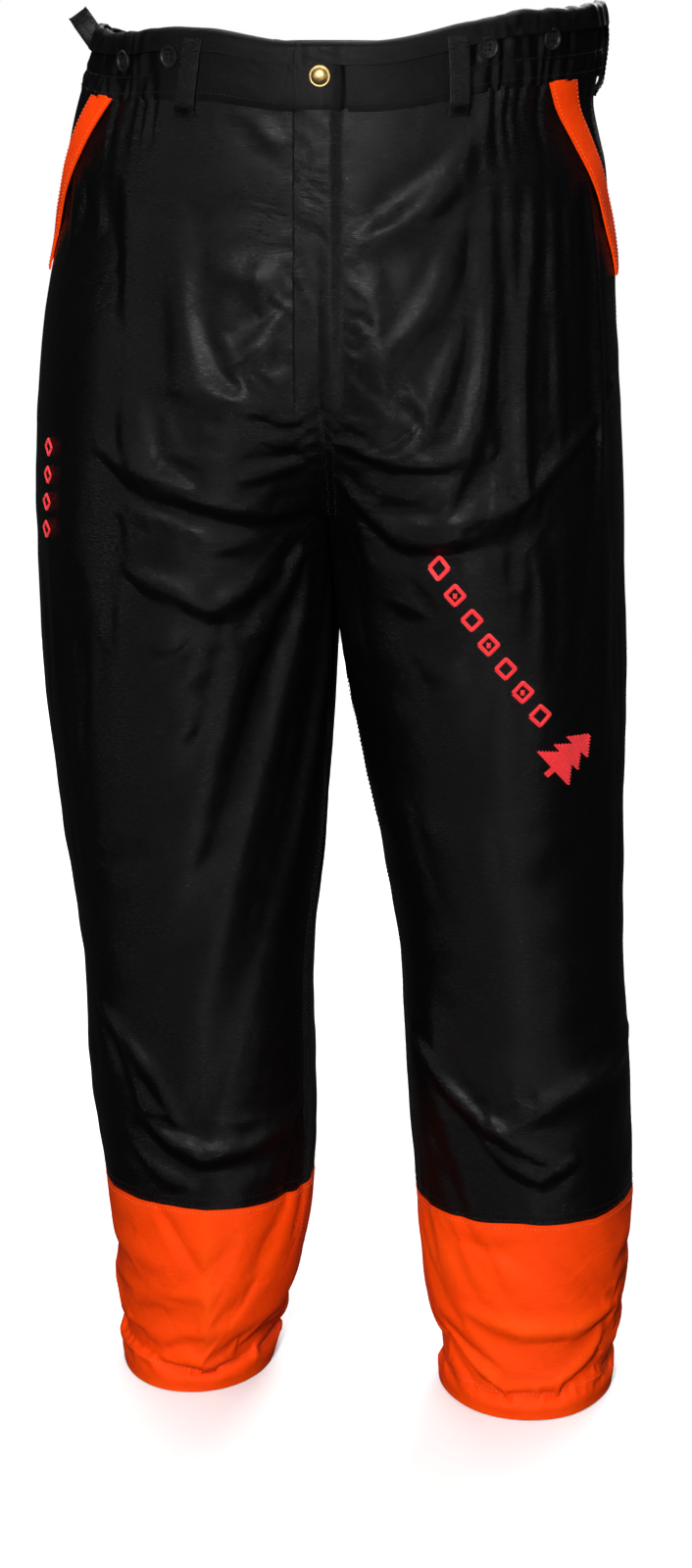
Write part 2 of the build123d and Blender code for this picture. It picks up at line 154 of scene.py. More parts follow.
def drawn_in(side, x, drop):
    """How far a point at x is drawn in towards the middle: nothing near the fly."""
    drops, depths = np.array(DRAWN_IN[side], float).T * MM
    return spline(drop, drops, depths) * smooth((x - 0.05) / 0.13)


def base_point(side, angle, drop):
    """Points of the smooth surface, before any fold: arrays of the same shape as angle."""
    centre, half, centre_y, depth = level(side, drop)
    x = np.maximum(centre + half * np.cos(angle), np.where(drop > FORK_DROP, LEG_CLEARANCE, 0.0))
    y = centre_y + depth * np.sin(angle)
    z = -drop + waist_rise(side, x, y) * (1 - smooth(drop / RISE_FADES_AT))
    return np.stack([SIGN[side] * (x - drawn_in(side, x, drop)), y, z], axis=-1)


def angle_of_x(side, x, drop, facing):
    """The angle of the point at x (towards that side) on the front (-1) or the back (+1)."""
    centre, half, _, _ = level(side, drop)
    return facing * np.arccos(np.clip((x - centre) / half, -1, 1))


# ------------------------------------------------------------------ folds
# Each fold runs along points of (x, drop) in millimetres, x measured towards its side. Height is
# the ridge's, width its half width, and under is how deep the hollow below it is, as a share.
FRONT_FOLDS = {
    "right": (
        ([(43, 54), (18, 73)], 1.6, 6, 0.5),
        ([(84, 144), (22, 163)], 1.8, 9, 0.4),
        ([(53, 198), (25, 212)], 1.4, 7, 0.5),
        ([(113, 233), (85, 232), (39, 246), (17, 256)], 2.6, 7, 0.7),
        ([(112, 252), (103, 277), (77, 287), (59, 294), (15, 292)], 2.4, 7, 0.6),
        ([(43, 264), (13, 277)], 1.6, 5, 0.5),
        ([(165, 282), (139, 290), (104, 299), (68, 310), (42, 321), (3, 325)], 4.6, 9, 1.1),
        ([(149, 325), (131, 321), (101, 329)], 2.0, 6, 0.5),
        ([(94, 335), (72, 343), (47, 343)], 1.8, 6, 0.5),
        ([(140, 362), (112, 373), (80, 389), (51, 374), (10, 357)], 3.6, 9, 0.9),
        ([(71, 398), (51, 409), (14, 410)], 2.0, 7, 0.6),
        ([(125, 418), (102, 414)], 1.6, 7, 0.4),
        ([(120, 446), (84, 436)], 1.8, 9, 0.4),
        ([(114, 485), (92, 477)], 1.4, 9, 0.4),
        ([(150, 560), (110, 575), (60, 566)], 1.4, 14, 0.4),
        ([(176, 717), (159, 734), (134, 763), (118, 799)], 3.6, 9, 0.8),
        ([(163, 736), (151, 768), (142, 792), (120, 798)], 2.4, 7, 0.6),
        ([(146, 800), (125, 814), (99, 825), (64, 821), (27, 799)], 4.4, 9, 0.9),
        ([(92, 801), (37, 803)], 1.8, 5, 0.4),
        ([(152, 828), (126, 847), (107, 852)], 2.2, 7, 0.5),
        ([(136, 873), (120, 900), (102, 928)], -2.6, 9, 0.0),
        ([(97, 872), (98, 940), (99, 1013)], 2.0, 12, 0.0),
        ([(133, 1011), (113, 1005), (92, 1016)], 1.8, 7, 0.5),
    ),
    "left": (
        ([(14, 143), (50, 124), (89, 102)], 2.6, 9, 0.8),
        ([(18, 137), (81, 95), (125, 50)], 2.2, 9, 0.6),
        ([(30, 122), (84, 78)], -1.8, 8, 0.0),
        ([(55, 241), (77, 203), (112, 165)], -3.6, 13, 0.0),
        ([(121, 182), (194, 178)], -2.2, 11, 0.0),
        ([(2, 273), (46, 280), (87, 280), (122, 274)], 3.2, 6, 0.9),
        ([(9, 302), (30, 321), (57, 334), (80, 330), (108, 320), (143, 312), (183, 276), (205, 246)], 4.4, 9, 1.0),
        ([(43, 316), (83, 316)], -2.0, 6, 0.0),
        ([(162, 312), (192, 273)], -2.4, 9, 0.0),
        ([(60, 343), (91, 339), (123, 329)], 2.0, 6, 0.5),
        ([(50, 385), (78, 387)], 1.8, 7, 0.4),
        ([(70, 429), (110, 440)], 1.6, 10, 0.4),
        ([(80, 560), (130, 580), (180, 566)], 1.4, 14, 0.4),
        ([(66, 733), (86, 758), (120, 791), (133, 797), (161, 814), (181, 824)], 4.0, 8, 0.9),
        ([(133, 794), (180, 768), (226, 740)], 3.4, 10, 0.5),
        ([(120, 808), (143, 823), (165, 832), (189, 822)], 3.0, 7, 0.8),
        ([(99, 892), (149, 898), (177, 918), (210, 946)], -3.0, 9, 0.0),
        ([(109, 950), (150, 961), (192, 962), (214, 956)], 2.8, 9, 0.7),
        ([(92, 977), (122, 1002), (139, 1012)], 2.0, 7, 0.5),
        ([(141, 1010), (179, 1007), (202, 992), (211, 976)], 2.2, 7, 0.5),
    ),
}
BACK_FOLDS = {
    "right": (
        ([(20, 300), (70, 322), (130, 318), (190, 300)], 3.4, 11, 0.8),
        ([(30, 345), (90, 366), (160, 352)], 3.0, 11, 0.7),
        ([(150, 398), (90, 412), (40, 402)], 2.0, 12, 0.5),
        ([(60, 640), (110, 652), (160, 640)], 3.2, 11, 0.8),
        ([(50, 676), (100, 692), (170, 672)], 4.2, 10, 1.0),
        ([(60, 716), (120, 730), (170, 716)], 3.4, 10, 0.8),
        ([(70, 790), (110, 812), (150, 800)], 3.0, 10, 0.7),
        ([(60, 840), (100, 850), (140, 836)], 2.4, 9, 0.6),
        ([(80, 950), (120, 962), (160, 952)], 2.2, 10, 0.6),
    ),
    "left": (
        ([(20, 296), (80, 316), (140, 322), (190, 306)], 3.4, 11, 0.8),
        ([(40, 350), (100, 362), (170, 344)], 2.8, 11, 0.7),
        ([(60, 404), (120, 416), (180, 400)], 2.0, 12, 0.5),
        ([(80, 636), (130, 650), (190, 642)], 3.2, 11, 0.8),
        ([(70, 680), (140, 690), (200, 674)], 4.2, 10, 1.0),
        ([(80, 722), (140, 730), (200, 714)], 3.4, 10, 0.8),
        ([(90, 798), (150, 812), (210, 796)], 3.0, 10, 0.7),
        ([(90, 846), (150, 850), (200, 838)], 2.4, 9, 0.6),
        ([(100, 952), (150, 962), (200, 950)], 2.2, 10, 0.6),
    ),
}
FOLD_STRENGTH = 1.3
UNROLL = 0.115              # radius used to turn an angle into a distance round the leg
GATHERED_FROM = {"right": 0.108, "left": 0.088}     # x where the elastic begins in front
GATHERED_BEHIND = 0.04      # and behind


def fold_height(side, angle, drop):
    """How far every fold together lifts each point off the smooth surface."""
    total = np.zeros(np.shape(angle))
    round_leg = wrapped(angle) * UNROLL
    for facing, folds in ((-1, FRONT_FOLDS[side]), (1, BACK_FOLDS[side])):
        for points, height, width, under in folds:
            xs, drops = (np.array([p[k] for p in points]) * MM for k in (0, 1))
            line_a = angle_of_x(side, xs, drops, facing) * UNROLL
            best = np.full(np.shape(angle), 1e9)
            signed = np.zeros(np.shape(angle))
            along = np.zeros(np.shape(angle))
            last = len(points) - 1
            for i in range(last):
                ax, ay = line_a[i], drops[i]
                bx, by = line_a[i + 1] - ax, drops[i + 1] - ay
                length2 = bx * bx + by * by
                t = np.clip(((round_leg - ax) * bx + (drop - ay) * by) / length2, 0, 1)
                dx, dy = round_leg - (ax + t * bx), drop - (ay + t * by)
                gap = np.hypot(dx, dy)
                closer = gap < best
                best = np.where(closer, gap, best)
                signed = np.where(closer, dy, signed)
                along = np.where(closer, (i + t) / last, along)
            spread = 0.85 * width * MM * (0.75 + 0.5 * np.sin(along * math.pi))
            ridge = np.exp(-((best / spread) ** 2))
            below = np.clip(signed / (best + 1e-9), 0, 1)
            hollow = under * below * np.exp(-(((best - 1.9 * spread) / (1.2 * spread)) ** 2))
            taper = 0.25 + 0.75 * np.sin(np.clip(along, 0.03, 0.97) * math.pi) ** 0.7
            total += FOLD_STRENGTH * height * MM * taper * (ridge - 0.6 * hollow)
    return total


def noise_field(points, size, seed):
    """Smooth noise of about one, sampled at each point."""
    flat = points.reshape(-1, 3) / size + seed
    values = [noise.noise(Vector(p)) for p in flat]
    return np.array(values).reshape(points.shape[:-1])


def gather_wave(side, angle, drop):
    """Small upright pleats where the elastic draws the cloth in, fading below the waistband."""
    centre, half, _, _ = level(side, drop)
    x = centre + half * np.cos(angle)
    front_zone = smooth((x - GATHERED_FROM[side]) / 0.02) * (angle < 0)
    back_zone = smooth((x - 0.03) / 0.02) * (angle >= 0)
    strength = (front_zone + back_zone) * (1 - smooth((drop - 0.03) / 0.085))
    wave = np.sin(angle * 78 + 1.7 * np.sin(angle * 23)) + 0.5 * np.sin(angle * 131 + 2)
    return 0.0011 * strength * wave


# ------------------------------------------------------------------ the grid of one side
ROWS = np.unique(np.round(np.concatenate([
    np.linspace(BAND_DROP, FLY_DROP, 37),
    np.linspace(FLY_DROP, FORK_DROP, 17),
    np.linspace(FORK_DROP, SPLIT_DROP, 43),
    np.linspace(SPLIT_DROP, CUFF_DROP, 55),
    np.linspace(CUFF_DROP, OUTSEAM, 31),
]), 6))
OUTER_COLUMNS = 104
FLY_COLUMNS = 3             # columns from the middle front to the fly's edge
INNER_COLUMNS = 30
SIDE_SEAM = 55              # column of the outside leg seam
INSIDE_SEAM = OUTER_COLUMNS + 23    # column of the inside leg seam
COLUMNS = OUTER_COLUMNS + INNER_COLUMNS
FORK_ROW = int(np.argmin(abs(ROWS - FORK_DROP)))
FLY_ROW = int(np.argmin(abs(ROWS - FLY_DROP)))
SPLIT_ROW = int(np.argmin(abs(ROWS - SPLIT_DROP)))
CUFF_ROW = int(np.argmin(abs(ROWS - CUFF_DROP)))
LAST_ROW = len(ROWS) - 1


def grid_angles(side):
    """The angle of every grid point, rows by columns; the last column repeats the first."""
    edge = middle_angle(side, ROWS)[:, None]
    half = level(side, ROWS)[1][:, None]
    fly = -edge + FLY_HALF / half * np.linspace(0, 1, FLY_COLUMNS + 1)[None, :]
    steps = np.linspace(0, 1, OUTER_COLUMNS - FLY_COLUMNS + 1)[None, 1:]
    outer = fly[:, -1:] + (edge - fly[:, -1:]) * steps
    inner = edge + (2 * math.pi - 2 * edge) * np.linspace(0, 1, INNER_COLUMNS + 1)[None, 1:]
    return np.concatenate([fly, outer, inner], axis=1)


def smooth_normals(side, angles, drops):
    """Outward normals of the smooth surface, by small steps along it."""
    step_angle, step_drop = 0.01, 0.002
    here = base_point(side, angles, drops)
    across = base_point(side, angles + step_angle, drops) - here
    down = base_point(side, angles, drops + step_drop) - here
    return unit(np.cross(down, across) * SIGN[side])


def side_grid(side):
    """Folded surface of one side: its points, angles and drops, and how worn each point is."""
    angles = grid_angles(side)
    drops = np.repeat(ROWS[:, None], angles.shape[1], axis=1)
    points = base_point(side, angles, drops)
    normals = smooth_normals(side, angles, drops)
    lift = fold_height(side, angles, drops) + gather_wave(side, angles, drops)
    leg = smooth((drops - 0.05) / 0.12)
    lift += 0.0022 * leg * noise_field(points * [1, 1, 0.8], 0.085, 3.1)
    lift += 0.0011 * leg * noise_field(points * [0.7, 0.7, 1.3], 0.034, 8.7)
    lift *= fly_still(angles, drops, side) * smooth((np.abs(points[..., 0]) - 0.0008) / 0.02)
    lift += pocket_mouth(points, drops)
    return points + normals * lift[..., None], angles, drops, np.clip(lift / 0.004, 0, 1)


MOUTH_DEPTH = 0.0016


def pocket_mouth(points, drops):
    """The hollow behind each slanted pocket's coloured edge, where the pocket's mouth opens."""
    toward = unit(np.array(MOUTH_FOOT) - np.array(MOUTH_TOP))
    away_y = points[..., 1] - MOUTH_TOP[0]
    away_z = -drops - MOUTH_TOP[1]
    along = away_y * toward[0] + away_z * toward[1]
    across = away_y * -toward[1] + away_z * toward[0] - TRIM_WIDTH
    length = math.dist(MOUTH_TOP, MOUTH_FOOT)
    inside = smooth(along / 0.02) * smooth((length - along) / 0.02)
    behind = np.where(across > -0.004, np.exp(-((across - 0.001) / 0.006) ** 2), 0)
    return -MOUTH_DEPTH * inside * behind


def fly_still(angles, drops, side):
    """Zero beside the fly and along the middle seams, one elsewhere."""
    edge = middle_angle(side, drops)
    half = level(side, drops)[1]
    from_middle = (edge - np.abs(wrapped(angles))) * half
    from_middle = np.where(drops > FORK_DROP + 0.02, 1.0, np.maximum(from_middle, 0))
    quiet = np.where((angles < 0) & (drops < FLY_DROP + 0.01), FLY_HALF, 0.0)
    return smooth((from_middle - quiet) / 0.03)


# ------------------------------------------------------------------ mesh helpers
def link(name, mesh):
    piece = bpy.data.objects.new(name, mesh)
    bpy.context.collection.objects.link(piece)
    return piece


def mesh_piece(name, verts, faces):
    mesh = bpy.data.meshes.new(name)
    mesh.from_pydata([tuple(v) for v in verts], [], [tuple(f) for f in faces])
    mesh.shade_smooth()
    return link(name, mesh)


def grid_uvs(points):
    """Cloth coordinates of a grid, in metres: u along the columns, v down the rows."""
    across = np.linalg.norm(np.diff(points, axis=1), axis=-1).mean(axis=0)
    down = np.linalg.norm(np.diff(points, axis=0), axis=-1).mean(axis=1)
    u = np.concatenate([[0], np.cumsum(across)])
    v = np.concatenate([[0], np.cumsum(down)])
    return np.stack(np.broadcast_arrays(u[None, :], -v[:, None]), axis=-1)


def grid_normals(points, toward):
    """Unit normals of a grid, on the same side as the vectors toward."""
    normal = np.cross(np.gradient(points, axis=0), np.gradient(points, axis=1))
    sign = np.sign((normal * toward).sum())
    return unit(normal * sign)


flat_sizes = {}             # width, length and area that each sheet was cut to


def cloth_sheet(name, points, normals, thickness=CLOTH, uvs=None, mask=None, wear=None):
    """A sheet of cloth with both faces and a rim, from a grid of points and outward normals.

    The shading normals come from the grid, so that neighbouring sheets match along their join.
    """
    rows, columns = points.shape[:2]
    uvs = grid_uvs(points) if uvs is None else uvs
    thickness = np.broadcast_to(np.asarray(thickness, float), (rows, columns)).ravel()
    ids = np.arange(rows * columns).reshape(rows, columns)
    quads = np.stack([ids[:-1, :-1], ids[1:, :-1], ids[1:, 1:], ids[:-1, 1:]], axis=-1)
    quads = quads.reshape(-1, 4) if mask is None else quads[mask]
    flat, out = points.reshape(-1, 3), normals.reshape(-1, 3)
    facing = np.cross(flat[quads[:, 2]] - flat[quads[:, 0]], flat[quads[:, 3]] - flat[quads[:, 1]])
    if (facing * out[quads[:, 0]]).sum() < 0:
        quads = quads[:, ::-1]
    used, quads = np.unique(quads, return_inverse=True)
    quads = quads.reshape(-1, 4)
    flat, out, count = flat[used], out[used], len(used)
    verts = np.concatenate([flat, flat - out * thickness[used, None]])
    edges = np.concatenate([quads[:, [k, (k + 1) % 4]] for k in range(4)])
    paired = np.isin(edges[:, 0] * count + edges[:, 1], edges[:, 1] * count + edges[:, 0])
    a, b = edges[~paired].T
    rim = np.stack([b, a, a + count, b + count], axis=-1)
    faces = np.concatenate([quads, quads[:, ::-1] + count, rim])
    mesh = bpy.data.meshes.new(name)
    mesh.from_pydata(verts.tolist(), [], faces.tolist())
    mesh.shade_smooth()
    layer = mesh.uv_layers.new(name="cloth")
    corners = faces.ravel()
    flat_uv = np.tile(uvs.reshape(-1, 2)[used], (2, 1)).astype(np.float32)
    layer.data.foreach_set("uv", flat_uv[corners].ravel())
    shading = np.concatenate([out, -out])[corners]
    ring = verts[rim]
    rim_normal = unit(np.cross(ring[:, 2] - ring[:, 0], ring[:, 3] - ring[:, 1]))
    shading[8 * len(quads):] = np.repeat(rim_normal, 4, axis=0)
    mesh.normals_split_custom_set(shading.tolist())
    worn = np.zeros(2 * count, np.float32)
    if wear is not None:
        worn[:count] = wear.ravel()[used]
    mesh.attributes.new("wear", "FLOAT", "POINT").data.foreach_set("value", worn)
    piece = link(name, mesh)
    cut = flat_uv[quads]
    diagonal_a, diagonal_b = cut[:, 2] - cut[:, 0], cut[:, 3] - cut[:, 1]
    area = np.abs(diagonal_a[:, 0] * diagonal_b[:, 1] - diagonal_a[:, 1] * diagonal_b[:, 0]).sum() / 2
    flat_sizes[name] = (*np.ptp(flat_uv[:count], axis=0).tolist(), float(area))
    return piece


# ------------------------------------------------------------------ cloth simulation
SIM_SHRINK = -0.022         # the cloth is this much longer than the form, so it crumples
SIM_FRAMES = 16
SIM_REACH = 0.006           # furthest that a point may move
SIM_CLOTH = {
    "quality": 5, "mass": 0.25, "tension_stiffness": 18, "compression_stiffness": 18, "shear_stiffness": 8,
    "bending_stiffness": 0.8, "air_damping": 4, "shrink_min": SIM_SHRINK, "shrink_max": 0,
}
MOST_IN, MOST_OUT = 0.0052, 0.0085  # limits of the finished folds, from the smooth form


def crumple(side, points, drops):
    """Lets the loose cloth of one side buckle: it is held at the waist, hem, fly and middle."""
    rows, columns = points.shape[:2]
    used = columns - 1
    keep = np.ones((rows, used), bool)
    keep[:FORK_ROW, OUTER_COLUMNS + 1:] = False
    index = -np.ones((rows, used), int)
    index[keep] = np.arange(keep.sum())
    faces = []
    for r in range(rows - 1):
        for c in range(used):
            d = (c + 1) % used
            quad = (index[r, c], index[r + 1, c], index[r + 1, d], index[r, d])
            if min(quad) >= 0 and not (r < FORK_ROW and c >= OUTER_COLUMNS):
                faces.append(quad)
    start = points[:, :used][keep]
    sheet = mesh_piece("sim_" + side, start, faces)
    drop = drops[:, :used][keep]
    middle = np.abs(start[:, 0])
    quiet = 1 - smooth((drop - 0.13) / 0.16)
    quiet = np.maximum(quiet, smooth((drop - CUFF_DROP + 0.05) / 0.05))
    pin = 1 - smooth((drop - 0.07) / 0.05)
    pin = np.maximum(pin, smooth((drop - (OUTSEAM - 0.02)) / 0.015))
    pin = np.maximum(pin, (1 - smooth((middle - 0.004) / 0.03)) * (drop < FORK_DROP + 0.03))
    for group, weights in (("held", np.where(pin > 0.01, pin, 0)), ("quiet", quiet)):
        group = sheet.vertex_groups.new(name=group)
        for i in np.flatnonzero(weights):
            group.add([int(i)], float(weights[i]), "REPLACE")
    cloth = sheet.modifiers.new("cloth", "CLOTH")
    for setting, value in SIM_CLOTH.items():
        setattr(cloth.settings, setting, value)
    cloth.settings.vertex_group_shrink = "quiet"
    cloth.settings.vertex_group_mass = "held"
    cloth.settings.effector_weights.gravity = 0.15
    cloth.collision_settings.use_collision = False
    cloth.collision_settings.use_self_collision = False
    cloth.point_cache.frame_start = 1
    cloth.point_cache.frame_end = SIM_FRAMES
    scene = bpy.context.scene
    for f in range(1, SIM_FRAMES + 1):
        scene.frame_set(f)
    depsgraph = bpy.context.evaluated_depsgraph_get()
    result = sheet.evaluated_get(depsgraph).to_mesh()
    moved = np.empty(len(result.vertices) * 3)
    result.vertices.foreach_get("co", moved)
    moved = moved.reshape(-1, 3)
    scene.frame_set(1)
    bpy.data.objects.remove(sheet)
    shift = moved - start
    length = np.linalg.norm(shift, axis=1, keepdims=True)
    shift *= np.minimum(1, SIM_REACH / np.maximum(length, 1e-9))
    out = points.copy()
    out[:, :used][keep] += shift
    out[:, used] = out[:, 0]
    return out


# ------------------------------------------------------------------ finer grid of each side
FINE = 2                    # fine grid steps for each coarse step


def refine_axis(points, axis):
    """Doubles the grid along one axis with points on a smooth curve through the old ones."""
    p = np.moveaxis(points, axis, 0)
    before = np.concatenate([2 * p[:1] - p[1:2], p[:-2]])
    after = np.concatenate([p[2:], 2 * p[-1:] - p[-2:-1]])
    middle = (9 * (p[:-1] + p[1:]) - before - after) / 16
    out = np.empty((2 * len(p) - 1,) + p.shape[1:])
    out[::2], out[1::2] = p, middle
    return np.moveaxis(out, 0, axis)


def refine(grid):
    """A side's grid made finer both ways, its outer and inner parts apart: they may meet in a crease."""
    parts = (grid[:, :OUTER_COLUMNS + 1], grid[:, OUTER_COLUMNS:])
    outer, inner = (refine_axis(refine_axis(part, 0), 1) for part in parts)
    return np.concatenate([outer, inner[:, 1:]], axis=1)


class Side:
    """The finished surface of one side: a fine grid of points, normals and cloth coordinates."""

    def __init__(self, side):
        self.side = side
        coarse, self.angles, self.drops, wear = side_grid(side)
        coarse = crumple(side, coarse, self.drops)
        smooth_form = base_point(side, self.angles, self.drops)
        outward = smooth_normals(side, self.angles, self.drops)
        depth = ((coarse - smooth_form) * outward).sum(-1)
        coarse = coarse + outward * (np.clip(depth, -MOST_IN, MOST_OUT) - depth)[..., None]
        self.points, self.fine_angles, wear = (refine(grid) for grid in (coarse, self.angles, wear))
        self.wear = np.clip(wear, 0, 1)
        self.rows = np.empty(2 * len(ROWS) - 1)
        self.rows[::2], self.rows[1::2] = ROWS, (ROWS[:-1] + ROWS[1:]) / 2
        self.normals = self.find_normals(self.points)
        step = np.linalg.norm(np.diff(self.points, axis=1), axis=-1)
        travel = np.concatenate([np.zeros((len(self.rows), 1)), np.cumsum(step, axis=1)], axis=1)
        travel -= travel[:, FINE * SIDE_SEAM][:, None]
        down = np.repeat(self.rows[:, None], travel.shape[1], axis=1)
        self.uvs = np.stack([travel, -down], axis=-1)

    def find_normals(self, points):
        """Outward unit normals; the columns close round the leg below the fork."""
        across = np.gradient(points, axis=1)
        closed = slice(FINE * FORK_ROW + 1, None)
        across[closed, 0] = points[closed, 1] - points[closed, -2]
        across[closed, -1] = across[closed, 0]
        back = FINE * OUTER_COLUMNS
        opened = slice(0, FINE * FORK_ROW + 1)
        across[opened, back] = points[opened, back] - points[opened, back - 1]
        normal = np.cross(np.gradient(points, axis=0), across) * SIGN[self.side]
        for edge in (0, back):
            normal[opened, edge, 0] = 0
        return unit(normal)

    def row_at(self, drop):
        """The fractional fine row at a drop."""
        return np.interp(drop, self.rows, np.arange(len(self.rows)))

    def at(self, column, drop, lift=0.0):
        """Points and normals at fractional fine columns and drops."""
        column, drop = np.broadcast_arrays(np.asarray(column, float), np.asarray(drop, float))
        row = self.row_at(drop)
        r = np.clip(row.astype(int), 0, len(self.rows) - 2)
        c = np.clip(column.astype(int), 0, self.points.shape[1] - 2)
        fr, fc = (row - r)[..., None], (column - c)[..., None]
        mixed = []
        for grid in (self.points, self.normals):
            upper = grid[r, c] * (1 - fc) + grid[r, c + 1] * fc
            lower = grid[r + 1, c] * (1 - fc) + grid[r + 1, c + 1] * fc
            mixed.append(upper * (1 - fr) + lower * fr)
        normal = unit(mixed[1])
        return mixed[0] + normal * lift, normal

    def column_at(self, angle, drop):
        """The fractional fine column at an angle, on the outer part of the side."""
        angle, drop = np.broadcast_arrays(np.asarray(angle, float), np.asarray(drop, float))
        out = np.empty(angle.shape)
        for i in np.ndindex(angle.shape):
            line = self.fine_angles[round(self.row_at(drop[i])), :FINE * OUTER_COLUMNS + 1]
            out[i] = np.interp(angle[i], line, np.arange(len(line)))
        return out

    def column_at_x(self, x, drop, facing):
        return self.column_at(angle_of_x(self.side, np.asarray(x), np.asarray(drop), facing), drop)


sides = {name: Side(name) for name in SIGN}


def follow(piece):
    """Bakes the placement into the mesh of a piece that crosses the hip or the knee of its side."""
    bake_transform(piece)


# ------------------------------------------------------------------ materials
def nodes_of(material):
    material.use_nodes = True
    tree = material.node_tree
    shader = tree.nodes["Principled BSDF"]

    def add(kind, **settings):
        node = tree.nodes.new("ShaderNode" + kind)
        for key, value in settings.items():
            if key in node.inputs:
                node.inputs[key].default_value = value
            else:
                setattr(node, key, value)
        return node

    return tree, shader, add


def ramp(add, tree, source, low, high, start=0.0, end=1.0):
    """A number that runs from start to end as the source runs from low to high."""
    node = add("MapRange")
    for socket, value in zip((1, 2, 3, 4), (low, high, start, end)):
        node.inputs[socket].default_value = value
    tree.links.new(source, node.inputs[0])
    return node.outputs[0]


def mix_colour(add, tree, share, first, second):
    node = add("Mix", data_type="RGBA")
    for socket, value in ((6, first), (7, second)):
        if isinstance(value, bpy.types.NodeSocket):
            tree.links.new(value, node.inputs[socket])
        else:
            node.inputs[socket].default_value = (*value, 1)
    tree.links.new(share, node.inputs[0])
    return node.outputs[2]


def cloth_material(name, colour, faded, roughness, specular, sheen, pitch, streak, crease, twill=0):
    """Woven cloth: weave and satin streaks, soft creases, colour that varies and wears pale."""
    material = bpy.data.materials.new(name)
    tree, shader, add = nodes_of(material)
    uv = add("UVMap", uv_map="cloth").outputs[0]
    weave = add("Mapping")
    weave.inputs["Rotation"].default_value = (0, 0, math.radians(twill))
    tree.links.new(uv, weave.inputs[0])
    threads = []
    for direction in ("X", "Y"):
        wave = add("TexWave", wave_type="BANDS", bands_direction=direction)
        wave.inputs["Scale"].default_value = 0.314 / pitch
        wave.inputs["Distortion"].default_value = 0.6
        wave.inputs["Detail Scale"].default_value = 3.0
        tree.links.new(weave.outputs[0], wave.inputs[0])
        threads.append(wave.outputs["Fac"])
    cross = add("Math", operation="MULTIPLY")
    tree.links.new(threads[0], cross.inputs[0])
    tree.links.new(threads[1], cross.inputs[1])
    stretched = add("Mapping")
    stretched.inputs["Scale"].default_value = (180, 1200, 1)
    tree.links.new(uv, stretched.inputs[0])
    streaks = add("TexNoise", noise_dimensions="2D", Scale=1.0, Detail=4.0, Roughness=0.6)
    tree.links.new(stretched.outputs[0], streaks.inputs["Vector"])
    creases = add("TexNoise", noise_dimensions="2D", Scale=26.0, Detail=5.0, Roughness=0.55, Distortion=0.8)
    tree.links.new(uv, creases.inputs["Vector"])
    blotches = add("TexNoise", noise_dimensions="2D", Scale=9.0, Detail=6.0, Roughness=0.7)
    tree.links.new(uv, blotches.inputs["Vector"])

    normal = None
    heights = ((creases.outputs[0], crease), (streaks.outputs[0], streak), (cross.outputs[0], pitch * 0.25))
    for height, distance in heights:
        bump = add("Bump", Strength=1.0, Distance=distance)
        tree.links.new(height, bump.inputs["Height"])
        if normal is not None:
            tree.links.new(normal, bump.inputs["Normal"])
        normal = bump.outputs[0]
    tree.links.new(normal, shader.inputs["Normal"])

    wear = add("Attribute", attribute_name="wear")
    rubbed = add("Math", operation="MULTIPLY")
    tree.links.new(wear.outputs["Fac"], rubbed.inputs[0])
    tree.links.new(ramp(add, tree, blotches.outputs[0], 0.35, 0.7, 0.1, 0.8), rubbed.inputs[1])
    varied = mix_colour(add, tree, ramp(add, tree, blotches.outputs[0], 0.3, 0.75, 0, 0.35), colour, faded)
    between = ramp(add, tree, cross.outputs[0], 0.1, 0.9, 0.25, 0)
    woven = mix_colour(add, tree, between, varied, tuple(c * 0.55 for c in colour))
    tree.links.new(mix_colour(add, tree, rubbed.outputs[0], woven, faded), shader.inputs["Base Color"])
    dullness = ramp(add, tree, streaks.outputs[0], 0.3, 0.7, roughness - 0.07, roughness + 0.07)
    tree.links.new(dullness, shader.inputs["Roughness"])
    shader.inputs["Specular IOR Level"].default_value = specular
    shader.inputs["Sheen Weight"].default_value = sheen
    shader.inputs["Sheen Roughness"].default_value = 0.4
    shader.inputs["Sheen Tint"].default_value = (*[min(1, 0.5 + c) for c in colour], 1)
    return material


def thread_material(name, colour, pale, specular=0.5):
    """Glossy embroidery and sewing thread, with the stitches running across it."""
    material = bpy.data.materials.new(name)
    tree, shader, add = nodes_of(material)
    coordinates = add("TexCoord").outputs["Object"]
    grain = add("TexNoise", Scale=900.0, Detail=3.0)
    tree.links.new(coordinates, grain.inputs["Vector"])
    strands = add("TexWave", wave_type="BANDS", bands_direction="DIAGONAL", Scale=420.0, Distortion=1.5)
    tree.links.new(coordinates, strands.inputs["Vector"])
    varied = mix_colour(add, tree, ramp(add, tree, grain.outputs[0], 0.35, 0.7), colour, pale)
    tree.links.new(varied, shader.inputs["Base Color"])
    bump = add("Bump", Strength=0.8, Distance=0.0004)
    tree.links.new(strands.outputs["Fac"], bump.inputs["Height"])
    tree.links.new(bump.outputs[0], shader.inputs["Normal"])
    tree.links.new(ramp(add, tree, grain.outputs[0], 0.3, 0.7, 0.35, 0.55), shader.inputs["Roughness"])
    shader.inputs["Specular IOR Level"].default_value = specular
    shader.inputs["Sheen Weight"].default_value = 0.3 * specular
    return material


